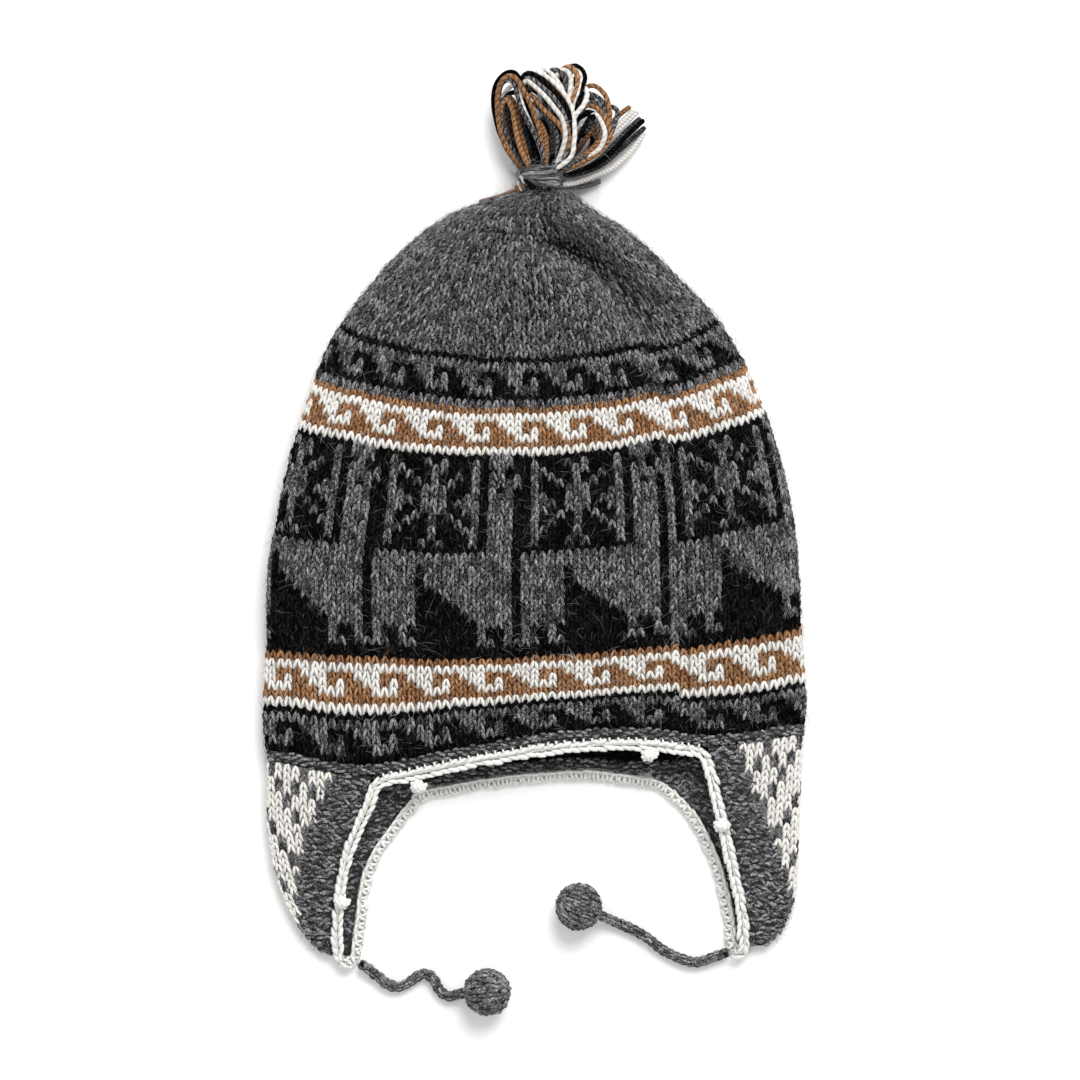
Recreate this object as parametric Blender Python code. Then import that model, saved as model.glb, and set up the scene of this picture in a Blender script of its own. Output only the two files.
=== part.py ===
"""Chullo: a knitted cap with ear flaps, lying flat on its back with the crown towards +Y.

Metres, +Z up. The origin is on the surface it lies on, on the middle line between the side folds.
The knit is one flattened tube. Its shape at each place along Y is a section, set by the tables below,
and the crown, hem band and flaps are stretches of that tube with a small gap between them.
"""

import math

import bmesh
import bpy
from mathutils import Matrix, Vector

# Knit tube
HAT_WIDTH = 0.260
CROWN_LENGTH = 0.263
FLAP_LENGTH = 0.109
LYING_HEIGHT = 0.032
HEM_Y = -0.107
KNIT_WALL = 0.0030
FLAP_WALL = 0.0034
CROWN_SEAT_WALL = 0.012
FOLD_ROUND = 0.014
FOLD_HEIGHT = 0.42
FOLD_LIMIT = 0.6
HEM_WAVE = 0.010
BACK_HANG = 0.0135
PIECE_GAP = 0.0003

# Band and edging
BAND_HEIGHT = 0.0050
BAND_WALL = 0.0038
EDGING_WIDTH = 0.0052
EDGING_THICKNESS = 0.0036
TIP_TURN = 0.0046
PICOT_SWELL = 0.45
PICOT_REACH = 0.0040

# Ties
TIE_DIAMETER = 0.0056
BALL_DIAMETER = 0.0228
BALL_HEIGHT = 0.0206
BALL_SEAT = 0.0008

# Tassel and its binding
HEAD_RADIUS = 0.0074
BINDING_RADIUS = 0.0106
BINDING_LENGTH = 0.0110
BINDING_ROUND = 0.0012
TASSEL_LENGTH = 0.0500
LOCK_ROOT = 0.0038

# Mesh fineness
QUARTER_STEPS = 14
CURVE_SAMPLES = 40
SMOOTH_STEPS = 12
PROBE = 0.002
EDGING_STEP = 0.0066
TUBE_SIDES = 8

CORNER_POWER = 2.5

# Sections of the knit tube. along: 1 at the gathered tip, 0 at the hem line, -1 at the flap tips.
# half and shift are shares of half the hat's width, height and lift shares of the lying height.
SECTIONS = (
    dict(along=-1.000, half=0.728, shift=0.019, height=0.300, lift=0.00),
    dict(along=-0.912, half=0.834, shift=0.020, height=0.340, lift=0.00),
    dict(along=-0.825, half=0.897, shift=0.027, height=0.380, lift=0.00),
    dict(along=-0.649, half=0.956, shift=0.013, height=0.440, lift=0.00),
    dict(along=-0.386, half=0.983, shift=-0.004, height=0.520, lift=0.00),
    dict(along=-0.080, half=0.990, shift=0.000, height=0.630, lift=0.00),
    dict(along=0.076, half=1.000, shift=0.000, height=0.700, lift=0.00),
    dict(along=0.185, half=0.987, shift=0.000, height=0.790, lift=0.00),
    dict(along=0.313, half=0.976, shift=-0.004, height=0.880, lift=0.00),
    dict(along=0.422, half=0.945, shift=0.002, height=0.940, lift=0.00),
    dict(along=0.531, half=0.895, shift=0.000, height=0.990, lift=0.00),
    dict(along=0.640, half=0.820, shift=-0.002, height=1.000, lift=0.00),
    dict(along=0.713, half=0.757, shift=-0.009, height=0.990, lift=0.00),
    dict(along=0.785, half=0.664, shift=-0.015, height=0.970, lift=0.00),
    dict(along=0.858, half=0.533, shift=-0.028, height=0.930, lift=0.00),
    dict(along=0.895, half=0.458, shift=-0.029, height=0.890, lift=0.00),
    dict(along=0.931, half=0.373, shift=-0.030, height=0.850, lift=0.01),
    dict(along=0.960, half=0.276, shift=-0.032, height=0.800, lift=0.03),
    dict(along=0.982, half=0.190, shift=-0.010, height=0.740, lift=0.05),
    dict(along=1.000, half=0.116, shift=0.022, height=0.680, lift=0.07),
)

# The hem line round the tube. around: 0 right fold, 0.25 front middle, 0.5 left fold, 0.75 back middle.
# wave is a share of the hem's wave, hang of how far the back hangs below the front.
HEM_LINE = (
    dict(around=0.000, wave=0.86, hang=0.00),
    dict(around=0.047, wave=0.61, hang=0.00),
    dict(around=0.088, wave=0.38, hang=0.00),
    dict(around=0.115, wave=0.47, hang=0.00),
    dict(around=0.152, wave=0.71, hang=0.00),
    dict(around=0.217, wave=0.61, hang=0.00),
    dict(around=0.250, wave=0.38, hang=0.00),
    dict(around=0.300, wave=-0.06, hang=0.00),
    dict(around=0.340, wave=-0.49, hang=0.00),
    dict(around=0.380, wave=-0.92, hang=0.00),
    dict(around=0.410, wave=-1.06, hang=0.00),
    dict(around=0.440, wave=-0.87, hang=0.00),
    dict(around=0.500, wave=-0.38, hang=0.00),
    dict(around=0.600, wave=-0.25, hang=0.75),
    dict(around=0.655, wave=-0.25, hang=1.00),
    dict(around=0.700, wave=0.12, hang=1.00),
    dict(around=0.750, wave=0.42, hang=1.00),
    dict(around=0.800, wave=0.56, hang=1.00),
    dict(around=0.850, wave=0.32, hang=1.00),
    dict(around=0.920, wave=0.35, hang=0.60),
)

# Free edges of the flaps, where the middle of the white edging runs, as shares of half the hat's width.
FLAP_EDGES = (
    dict(along=-1.00, left_front=0.724, left_back=0.664, right_front=0.775, right_back=0.738),
    dict(along=-0.88, left_front=0.728, left_back=0.652, right_front=0.771, right_back=0.728),
    dict(along=-0.76, left_front=0.722, left_back=0.640, right_front=0.764, right_back=0.715),
    dict(along=-0.60, left_front=0.707, left_back=0.620, right_front=0.737, right_back=0.685),
    dict(along=-0.47, left_front=0.680, left_back=0.570, right_front=0.712, right_back=0.645),
    dict(along=-0.35, left_front=0.637, left_back=0.496, right_front=0.690, right_back=0.59),
    dict(along=-0.25, left_front=0.600, left_back=0.43, right_front=0.668, right_back=0.52),
    dict(along=-0.18, left_front=0.583, left_back=0.39, right_front=0.655, right_back=0.44),
    dict(along=-0.07, left_front=0.572, left_back=0.34, right_front=0.628, right_back=0.34),
    dict(along=0.05, left_front=0.560, left_back=0.30, right_front=0.600, right_back=0.30),
)

# Dents of the front layer, each along a straight line. x is a share of half the hat's width,
# up a share of the crown's length above the hem line, depth of the lying height, reach of the hat's width.
DENTS = (
    dict(x0=0.05, up0=0.93, x1=0.44, up1=0.77, depth=0.20, reach=0.055),
    dict(x0=-0.10, up0=0.95, x1=-0.36, up1=0.80, depth=0.10, reach=0.060),
    dict(x0=0.10, up0=0.90, x1=0.16, up1=0.70, depth=0.07, reach=0.050),
    dict(x0=-0.52, up0=-0.05, x1=-0.46, up1=0.50, depth=0.11, reach=0.085),
    dict(x0=0.58, up0=-0.05, x1=0.52, up1=0.72, depth=0.08, reach=0.055),
    dict(x0=0.02, up0=0.30, x1=0.05, up1=0.62, depth=0.05, reach=0.090),
)

# Small bobbles on the white edging of the front: place across and along, as in the tables above.
PICOTS = (
    dict(x=-0.425, along=-0.19),
    dict(x=0.420, along=-0.05),
    dict(x=-0.708, along=-0.70),
    dict(x=0.687, along=-0.36),
)

# Rings of the crown's outer and inner skins, as shares of the way from the hem line to the tip.
OUTER_RINGS = (0, 0.07, 0.14, 0.22, 0.31, 0.41, 0.51, 0.60, 0.68, 0.75, 0.81, 0.86, 0.90, 0.935, 0.96, 0.98, 1)
INNER_RINGS = (0, 0.10, 0.22, 0.35, 0.48, 0.60, 0.70, 0.78, 0.85, 0.90, 0.935)

# Stations of a flap, as shares of the way from the band to the tip, steps from edge to edge, about where
# a flap's top corner is, and where the two tips are.
FLAP_STATIONS = (0, 0.05, 0.10, 0.16, 0.23, 0.32, 0.42, 0.54, 0.66, 0.77, 0.86, 0.93, 1)
FLAP_STEPS = 18
CORNER_ALONG = -0.08
LEFT_TIP = -1.000
RIGHT_TIP = -0.955

# Locks of the tassel. turn and rise are degrees from straight out of the binding, turn to the right and
# rise upwards. foot, a share of the binding's radius, moves the lock's root aside. reach, width and depth
# are shares of the tassel's length.
LOCKS = (
    dict(turn=-31, rise=2, foot=-0.48, reach=0.54, width=0.30, depth=0.34),
    dict(turn=-23, rise=2, foot=-0.30, reach=0.88, width=0.32, depth=0.34),
    dict(turn=-17, rise=12, foot=-0.20, reach=0.91, width=0.32, depth=0.30),
    dict(turn=-5, rise=15, foot=0.00, reach=0.86, width=0.34, depth=0.32),
    dict(turn=-3, rise=-2, foot=0.00, reach=0.84, width=0.36, depth=0.28),
    dict(turn=10, rise=12, foot=0.00, reach=0.88, width=0.32, depth=0.32),
    dict(turn=18, rise=2, foot=0.20, reach=0.90, width=0.32, depth=0.32),
    dict(turn=36, rise=9, foot=0.30, reach=0.85, width=0.28, depth=0.32),
    dict(turn=50, rise=4, foot=0.30, reach=0.76, width=0.28, depth=0.30),
    dict(turn=59, rise=1, foot=0.30, reach=0.93, width=0.15, depth=0.16),
    dict(turn=68, rise=-2, foot=0.30, reach=1.00, width=0.16, depth=0.16),
    dict(turn=78, rise=-3, foot=0.30, reach=0.84, width=0.16, depth=0.16),
    dict(turn=92, rise=-4, foot=0.30, reach=0.62, width=0.11, depth=0.13),
)

# Routes of the two ties along the surface, from the flap's tip to its ball.
LEFT_TIE = (
    (-0.0838, -0.2136, 0.0044), (-0.0790, -0.2168, 0.0035), (-0.0749, -0.2202, 0.0029),
    (-0.0711, -0.2234, 0.0028), (-0.0665, -0.2251, 0.0028), (-0.0619, -0.2239, 0.0028),
    (-0.0577, -0.2210, 0.0028), (-0.0541, -0.2189, 0.0028), (-0.0509, -0.2191, 0.0028),
    (-0.0483, -0.2218, 0.0028), (-0.0462, -0.2255, 0.0028), (-0.0436, -0.2286, 0.0028),
    (-0.0403, -0.2296, 0.0030), (-0.0369, -0.2284, 0.0042), (-0.0335, -0.2280, 0.0064),
)
RIGHT_TIE = (
    (0.0926, -0.2084, 0.0044), (0.0875, -0.2100, 0.0034), (0.0824, -0.2121, 0.0029),
    (0.0771, -0.2131, 0.0028), (0.0711, -0.2118, 0.0028), (0.0650, -0.2092, 0.0028),
    (0.0598, -0.2060, 0.0028), (0.0555, -0.2027, 0.0028), (0.0511, -0.1997, 0.0028),
    (0.0459, -0.1970, 0.0028), (0.0402, -0.1944, 0.0032), (0.0356, -0.1922, 0.0044),
    (0.0312, -0.1903, 0.0064),
)
TIE_POINTS = 24

GREY_WOOL = (0.085, 0.085, 0.092, 1)
WHITE_WOOL = (0.72, 0.70, 0.66, 1)
BROWN_WOOL = (0.33, 0.17, 0.08, 1)


def smooth_value(rows, key, name, at, period=None):
    """The column name of a table of rows at a place between them, on a smooth curve through the rows."""
    places = [row[key] for row in rows]
    values = [row[name] for row in rows]
    if period:
        at %= period
        places = [places[-1] - period, *places, places[0] + period, places[1] + period]
        values = [values[-1], *values, values[0], values[1]]
    at = min(max(at, places[0]), places[-1])
    i = max(k for k in range(len(places) - 1) if places[k] <= at)
    step = places[i + 1] - places[i]
    slopes = []
    for k in (i, i + 1):
        before, after = max(k - 1, 0), min(k + 1, len(places) - 1)
        slopes.append((values[after] - values[before]) / (places[after] - places[before]))
    t = (at - places[i]) / step
    rise = values[i + 1] - values[i]
    steer = t * (1 - t) * ((1 - t) * (slopes[0] * step - rise) - t * (slopes[1] * step - rise))
    return values[i] + t * rise + steer


def along_of(y):
    length = CROWN_LENGTH if y > HEM_Y else FLAP_LENGTH
    return (y - HEM_Y) / length


def y_of(along):
    return HEM_Y + along * (CROWN_LENGTH if along > 0 else FLAP_LENGTH)


def section_at(y):
    """Half width, middle, bottom, fold and top height of the tube's outer skin at y."""
    along = along_of(y)
    half = smooth_value(SECTIONS, "along", "half", along) * HAT_WIDTH / 2
    middle = smooth_value(SECTIONS, "along", "shift", along) * HAT_WIDTH / 2
    top = smooth_value(SECTIONS, "along", "height", along) * LYING_HEIGHT
    bottom = max(0, smooth_value(SECTIONS, "along", "lift", along)) * LYING_HEIGHT
    return half, middle, bottom, bottom + FOLD_HEIGHT * (top - bottom), top


def dent_depth(x, y):
    """How far the front layer is pressed in at a place in plan."""
    total = 0
    for dent in DENTS:
        start = Vector((dent["x0"] * HAT_WIDTH / 2, y_of(dent["up0"])))
        end = Vector((dent["x1"] * HAT_WIDTH / 2, y_of(dent["up1"])))
        line = end - start
        share = (Vector((x, y)) - start).dot(line) / line.length_squared
        nearest = start + line * min(max(share, 0), 1)
        away = (Vector((x, y)) - nearest).length / (dent["reach"] * HAT_WIDTH)
        total += dent["depth"] * LYING_HEIGHT * math.exp(-away * away)
    return total


def quarter_curve(y, side, front, depth):
    """Points (x, z) of a quarter of the section, from the middle line to the fold, depth inside the skin."""
    half, middle, bottom, fold, top = section_at(y)
    half, top, bottom = half - depth, top - depth, bottom + depth
    round_in = min(FOLD_ROUND, FOLD_LIMIT * half) - depth
    points = []
    for i in range(CURVE_SAMPLES + 1):
        angle = math.pi / 2 * (1 - i / CURVE_SAMPLES)
        if front:
            out = math.cos(angle) ** (2 / CORNER_POWER) * half
            level = math.sin(angle) ** (2 / CORNER_POWER)
            x = middle + side * out
            z = fold + (top - fold - dent_depth(x, y) * level) * level
        else:
            flat = half - round_in
            corner = max(0, 2 * i / CURVE_SAMPLES - 1)
            turn = corner * math.pi / 2
            out = flat * min(1, 2 * i / CURVE_SAMPLES) + round_in * math.sin(turn)
            x = middle + side * out
            z = fold - (fold - bottom) * math.cos(turn)
        points.append(Vector((x, z)))
    return points


def point_on(curve, share):
    """The point at a share of a curve's length."""
    lengths = [0]
    for a, b in zip(curve, curve[1:]):
        lengths.append(lengths[-1] + (b - a).length)
    goal = share * lengths[-1]
    for i in range(len(curve) - 1):
        if lengths[i + 1] >= goal:
            step = lengths[i + 1] - lengths[i]
            return curve[i].lerp(curve[i + 1], (goal - lengths[i]) / step if step else 0)
    return curve[-1]


def share_at(curve, out):
    """The share of a curve's length at which it is this far from the middle line."""
    start = curve[0].x
    before = 0
    total = sum((b - a).length for a, b in zip(curve, curve[1:]))
    for a, b in zip(curve, curve[1:]):
        near, far = abs(a.x - start), abs(b.x - start)
        if far >= out:
            return (before + (b - a).length * (out - near) / max(far - near, 1e-9)) / total
        before += (b - a).length
    return 1


def tube_point(y, around, depth):
    """The point of the tube at y, a share around it, and depth inside its outer skin."""
    around %= 1
    quarter = int(around * 4)
    inside = around * 4 - quarter
    side = 1 if quarter in (0, 3) else -1
    share = 1 - inside if quarter in (0, 2) else inside
    found = point_on(quarter_curve(y, side, quarter < 2, depth), share)
    return Vector((found.x, y, found.y))


def hem_y(around):
    """Where the crown ends and the band begins, round the tube."""
    wave = smooth_value(HEM_LINE, "around", "wave", around, 1) * HEM_WAVE
    hang = smooth_value(HEM_LINE, "around", "hang", around, 1) * BACK_HANG
    return HEM_Y + wave - hang


def band_foot_y(around):
    return hem_y(around) - PIECE_GAP - BAND_HEIGHT


def around_steps():
    """Places round the tube, closer together towards the folds."""
    shares = [1 - (1 - i / QUARTER_STEPS) ** 1.5 for i in range(QUARTER_STEPS + 1)]
    out = [s / 4 for s in reversed(shares)]
    first = [0.25 - s for s in out]
    quarters = []
    for quarter in range(4):
        flipped = quarter % 2 == 1
        part = [0.25 - s for s in reversed(first)] if flipped else first
        quarters += [quarter / 4 + s for s in part[:-1]]
    return quarters


def finish_object(name, mesh, colour):
    mesh.normal_update()
    data = bpy.data.meshes.new(name)
    mesh.to_mesh(data)
    mesh.free()
    return place_object(name, data, colour)


def place_object(name, data, colour):
    placed = bpy.data.objects.new(name, data)
    bpy.context.scene.collection.objects.link(placed)
    material = bpy.data.materials.new(name)
    material.use_nodes = True
    shader = material.node_tree.nodes["Principled BSDF"]
    shader.inputs["Base Color"].default_value = colour
    shader.inputs["Roughness"].default_value = 0.95
    shader.inputs["Metallic"].default_value = 0
    data.materials.append(material)
    if isinstance(data, bpy.types.Mesh):
        data.shade_smooth()
        data.set_sharp_from_angle(angle=math.radians(60))
    return placed


def skin(mesh, rows, closed_round, closed_along=False):
    """Faces between rows of vertices."""
    pairs = list(zip(rows, rows[1:]))
    if closed_along:
        pairs.append((rows[-1], rows[0]))
    for low, high in pairs:
        count = len(low)
        for j in range(count if closed_round else count - 1):
            k = (j + 1) % count
            mesh.faces.new((low[j], low[k], high[k], high[j]))


def turn_outwards(mesh):
    bmesh.ops.recalc_face_normals(mesh, faces=mesh.faces)


def crown():
    """The knitted crown: outer and inner skin, joined at the hem and closed at the gathered tip."""
    mesh = bmesh.new()
    tip_y = HEM_Y + CROWN_LENGTH
    steps = around_steps()

    def ring(share, end_y, depth):
        row = []
        for around in steps:
            start = hem_y(around)
            y = start + (end_y - start) * share
            row.append(mesh.verts.new(tube_point(y, around, depth)))
        return row

    outer = [ring(share, tip_y, 0) for share in OUTER_RINGS]
    inner = [ring(share, tip_y, KNIT_WALL) for share in INNER_RINGS]
    skin(mesh, [*reversed(inner), *outer], True)
    for row, y in ((outer[-1], tip_y), (inner[-1], tip_y - CROWN_SEAT_WALL)):
        middle = sum((vert.co for vert in row), Vector()) / len(row)
        pole = mesh.verts.new((middle.x, y, middle.z))
        for j, vert in enumerate(row):
            mesh.faces.new((vert, row[(j + 1) % len(row)], pole))
    turn_outwards(mesh)
    return finish_object("crown", mesh, GREY_WOOL)


def hem_band():
    """The ridged band under the crown: a closed ring with rounded corners."""
    mesh = bmesh.new()
    corner = 0.3
    profile = (
        (0, corner), (0, 1 - corner), (corner, 1), (1 - corner, 1),
        (1, 1 - corner), (1, corner), (1 - corner, 0), (corner, 0),
    )
    rows = []
    for around in around_steps():
        foot = band_foot_y(around)
        row = []
        for depth_share, rise_share in profile:
            y = foot + rise_share * BAND_HEIGHT
            row.append(mesh.verts.new(tube_point(y, around, depth_share * BAND_WALL)))
        rows.append(row)
    skin(mesh, rows, True, closed_along=True)
    turn_outwards(mesh)
    return finish_object("hem_band", mesh, GREY_WOOL)


def edge_x(y, side, front):
    """Where the middle of the edging runs beside a flap, in plan."""
    name = ("left_" if side < 0 else "right_") + ("front" if front else "back")
    return side * smooth_value(FLAP_EDGES, "along", name, along_of(y)) * HAT_WIDTH / 2


def edge_run(y, side, front, depth):
    """How far round a flap's free edge is: 0 the front middle, 1 the fold, 2 the back middle."""
    curve = quarter_curve(y, side, front, depth)
    slant = (edge_x(y + PROBE, side, front) - edge_x(y - PROBE, side, front)) / (2 * PROBE)
    room = (EDGING_WIDTH / 2 + 3 * PIECE_GAP) * math.hypot(1, slant)
    out = abs(edge_x(y, side, front) - curve[0].x) + room
    share = share_at(curve, out)
    return share if front else 2 - share


def around_of(run, side):
    """The share around the tube of a place 0 to 2 from the front middle over the fold to the back."""
    return (0.25 - side * run / 4) % 1


def flap_foot_y(side):
    return y_of(LEFT_TIP if side < 0 else RIGHT_TIP) + EDGING_WIDTH + 2 * PIECE_GAP


def flap(name, side):
    """An ear flap: a wall folded round the side fold, from its front edge to its back edge."""
    mesh = bmesh.new()

    def place(y, across, depth):
        start, end = edge_run(y, side, True, depth), edge_run(y, side, False, depth)
        return around_of(start + (end - start) * across, side)

    def head_y(across):
        y = y_of(CORNER_ALONG)
        for _ in range(4):
            y = band_foot_y(place(y, across, 0)) - 2 * PIECE_GAP
        return y

    heads = [head_y(j / FLAP_STEPS) for j in range(FLAP_STEPS + 1)]

    def grid(depth):
        rows = []
        for station in FLAP_STATIONS:
            row = []
            for j, head in enumerate(heads):
                y = head + (flap_foot_y(side) - head) * station
                around = place(y, j / FLAP_STEPS, depth)
                row.append(mesh.verts.new(tube_point(y, around, depth)))
            rows.append(row)
        return rows

    outer, inner = grid(0), grid(FLAP_WALL)
    skin(mesh, outer, False)
    skin(mesh, inner, False)
    for a, b in ((outer[0], inner[0]), (outer[-1], inner[-1])):
        skin(mesh, [a, b], False)
    for j in (0, -1):
        skin(mesh, [[row[j] for row in outer], [row[j] for row in inner]], False)
    turn_outwards(mesh)
    return finish_object(name, mesh, GREY_WOOL)


def layer_point(x, y, front):
    """The middle of the wall of the front or back layer at a place in plan."""
    half, middle, *_ = section_at(y)
    side = 1 if x >= middle else -1
    depth = EDGING_THICKNESS / 2
    curve = quarter_curve(y, side, front, depth)
    found = point_on(curve, share_at(curve, abs(x - middle)))
    return Vector((x, y, found.y))


def hem_run(front):
    """Middle of the edging under the band, from the right corner to the left one."""
    points = []
    high = y_of(CORNER_ALONG)
    corners = [abs(edge_x(high, side, front)) for side in (1, -1)]
    room = 2 * PIECE_GAP + EDGING_WIDTH / 2
    count = 14
    for i in range(count + 1):
        share = 0.5 - 0.47 * math.cos(math.pi * i / count)
        x = corners[0] * (1 - share) - corners[1] * share
        side = 1 if x >= 0 else -1
        feet = []
        for near in (x - PROBE, x, x + PROBE):
            curve = quarter_curve(high, side, front, 0)
            run = share_at(curve, abs(near - curve[0].x))
            feet.append(band_foot_y(around_of(run if front else 2 - run, side)))
        slant = math.hypot(1, (feet[2] - feet[0]) / (2 * PROBE))
        points.append(layer_point(x, feet[1] - room * slant, front))
    return points


def flap_run(side, front):
    """Middle of the edging beside a flap, from the band down to the tip."""
    points = []
    high = y_of(CORNER_ALONG)
    run = edge_run(high, side, front, 0)
    head = band_foot_y(around_of(run, side)) - EDGING_WIDTH * 1.1
    foot = flap_foot_y(side)
    count = 14
    for i in range(count + 1):
        y = head + (foot - head) * i / count
        points.append(layer_point(edge_x(y, side, front), y, front))
    return points


def edging_line():
    """The closed middle line of the edging as (place, outward normal) pairs."""
    up, down, out = Vector((0, 0, 1)), Vector((0, 0, -1)), Vector((0, -1, 0))
    line = [(point, up) for point in hem_run(True)]
    for side, back_first in ((-1, False), (1, True)):
        front, back = flap_run(side, True), flap_run(side, False)
        tip = (front[-1] + back[-1]) / 2
        tip.y -= TIP_TURN
        lower = [(point, down) for point in reversed(back)]
        whole = [(point, up) for point in front] + [(tip, out)] + lower
        if back_first:
            line += [(point, down) for point in reversed(hem_run(False))]
            whole.reverse()
        line += whole
    return line


def smooth_point(a, b, c, d, t):
    """A point between b and c on the smooth curve that also runs through a and d."""
    square = 2 * a - 5 * b + 4 * c - d
    cube = 3 * b - a - 3 * c + d
    return (2 * b + (c - a) * t + square * t * t + cube * t**3) / 2


def closed_curve_points(line, spacing):
    """Points and normals evenly along a smooth closed curve through the line's places."""
    fine = []
    count = len(line)
    for i in range(count):
        a, b, c, d = (line[(i + k) % count] for k in (-1, 0, 1, 2))
        for k in range(SMOOTH_STEPS):
            t = k / SMOOTH_STEPS
            place = smooth_point(a[0], b[0], c[0], d[0], t)
            fine.append((place, b[1].lerp(c[1], t)))
    lengths = [0]
    for i in range(len(fine)):
        lengths.append(lengths[-1] + (fine[(i + 1) % len(fine)][0] - fine[i][0]).length)
    steps = round(lengths[-1] / spacing)
    found = []
    at = 0
    for i in range(steps):
        goal = lengths[-1] * i / steps
        while lengths[at + 1] < goal:
            at += 1
        t = (goal - lengths[at]) / (lengths[at + 1] - lengths[at])
        start, end = fine[at], fine[(at + 1) % len(fine)]
        found.append((start[0].lerp(end[0], t), start[1].lerp(end[1], t)))
    return found


def edging():
    """The white edging: one closed strip round the opening and both flaps, with its bobbles."""
    mesh = bmesh.new()
    line = closed_curve_points(edging_line(), EDGING_STEP)
    bobbles = [layer_point(p["x"] * HAT_WIDTH / 2, y_of(p["along"]), True) for p in PICOTS]
    rows = []
    for i, (place, normal) in enumerate(line):
        forward = (line[(i + 1) % len(line)][0] - line[i - 1][0]).normalized()
        across = forward.cross(normal).normalized()
        outward = across.cross(forward).normalized()
        near = min((place - bobble).length for bobble in bobbles) / PICOT_REACH
        swell = 1 + PICOT_SWELL * math.exp(-near * near)
        row = []
        for k in range(TUBE_SIDES):
            angle = 2 * math.pi * k / TUBE_SIDES
            wide = across * math.cos(angle) * EDGING_WIDTH / 2
            thick = outward * math.sin(angle) * EDGING_THICKNESS / 2 * swell
            row.append(mesh.verts.new(place + wide + thick))
        rows.append(row)
    skin(mesh, rows, True, closed_along=True)
    turn_outwards(mesh)
    return finish_object("edging", mesh, WHITE_WOOL)


def even_points(route, count):
    """Points evenly along a smooth open curve through a route's own points."""
    route = [Vector(p) for p in route]
    ends = [2 * route[0] - route[1], *route, 2 * route[-1] - route[-2]]
    fine = []
    for i in range(1, len(ends) - 2):
        a, b, c, d = ends[i - 1 : i + 3]
        fine += [smooth_point(a, b, c, d, k / SMOOTH_STEPS) for k in range(SMOOTH_STEPS)]
    fine.append(route[-1])
    curve = []
    lengths = [0]
    for a, b in zip(fine, fine[1:]):
        lengths.append(lengths[-1] + (b - a).length)
    at = 0
    for i in range(count):
        goal = lengths[-1] * i / (count - 1)
        while at < len(fine) - 2 and lengths[at + 1] < goal:
            at += 1
        step = lengths[at + 1] - lengths[at]
        curve.append(fine[at].lerp(fine[at + 1], (goal - lengths[at]) / step))
    return curve


def tie(name, route):
    """A knitted cord along its route, as a round tube."""
    curve = bpy.data.curves.new(name, "CURVE")
    curve.dimensions = "3D"
    curve.bevel_depth = TIE_DIAMETER / 2
    curve.bevel_resolution = 2
    curve.use_fill_caps = True
    spline = curve.splines.new("POLY")
    points = even_points(route, TIE_POINTS)
    spline.points.add(len(points) - 1)
    for slot, point in zip(spline.points, points):
        slot.co = (*point, 1)
    return place_object(name, curve, GREY_WOOL)


def ball(name, route):
    """A stuffed knitted ball at the end of a tie's route, resting on the surface."""
    end, before = Vector(route[-1]).xy, Vector(route[-2]).xy
    centre = end + (end - before).normalized() * (BALL_DIAMETER / 2 + PIECE_GAP - BALL_SEAT)
    mesh = bmesh.new()
    bmesh.ops.create_uvsphere(mesh, u_segments=14, v_segments=9, radius=BALL_DIAMETER / 2)
    bmesh.ops.scale(mesh, vec=(1, 1, BALL_HEIGHT / BALL_DIAMETER), verts=mesh.verts)
    bmesh.ops.translate(mesh, vec=(*centre, BALL_HEIGHT / 2), verts=mesh.verts)
    return finish_object(name, mesh, GREY_WOOL)


def neck_centre():
    """The middle of the crown's gathered tip, where the binding and the tassel's head begin."""
    tip = HEM_Y + CROWN_LENGTH
    _, middle, bottom, _, top = section_at(tip)
    return Vector((middle, tip + PIECE_GAP, (bottom + top) / 2))


def binding():
    """The wound yarn that holds the tassel to the crown's tip: a ring about the tassel's head."""
    mesh = bmesh.new()
    inner = HEAD_RADIUS + PIECE_GAP
    waist = BINDING_RADIUS - BINDING_ROUND
    profile = (
        (0, inner), (BINDING_LENGTH, inner), (BINDING_LENGTH, waist),
        (BINDING_LENGTH - BINDING_ROUND, BINDING_RADIUS), (BINDING_ROUND, BINDING_RADIUS), (0, waist),
    )
    centre = neck_centre()
    verts = [mesh.verts.new(centre + Vector((radius, along, 0))) for along, radius in profile]
    edges = [mesh.edges.new((verts[i - 1], verts[i])) for i in range(len(verts))]
    bmesh.ops.spin(
        mesh, geom=verts + edges, cent=centre, axis=(0, 1, 0),
        angle=2 * math.pi, steps=24, use_merge=True,
    )
    bmesh.ops.remove_doubles(mesh, verts=mesh.verts, dist=1e-6)
    turn_outwards(mesh)
    return finish_object("binding", mesh, GREY_WOOL)


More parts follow.
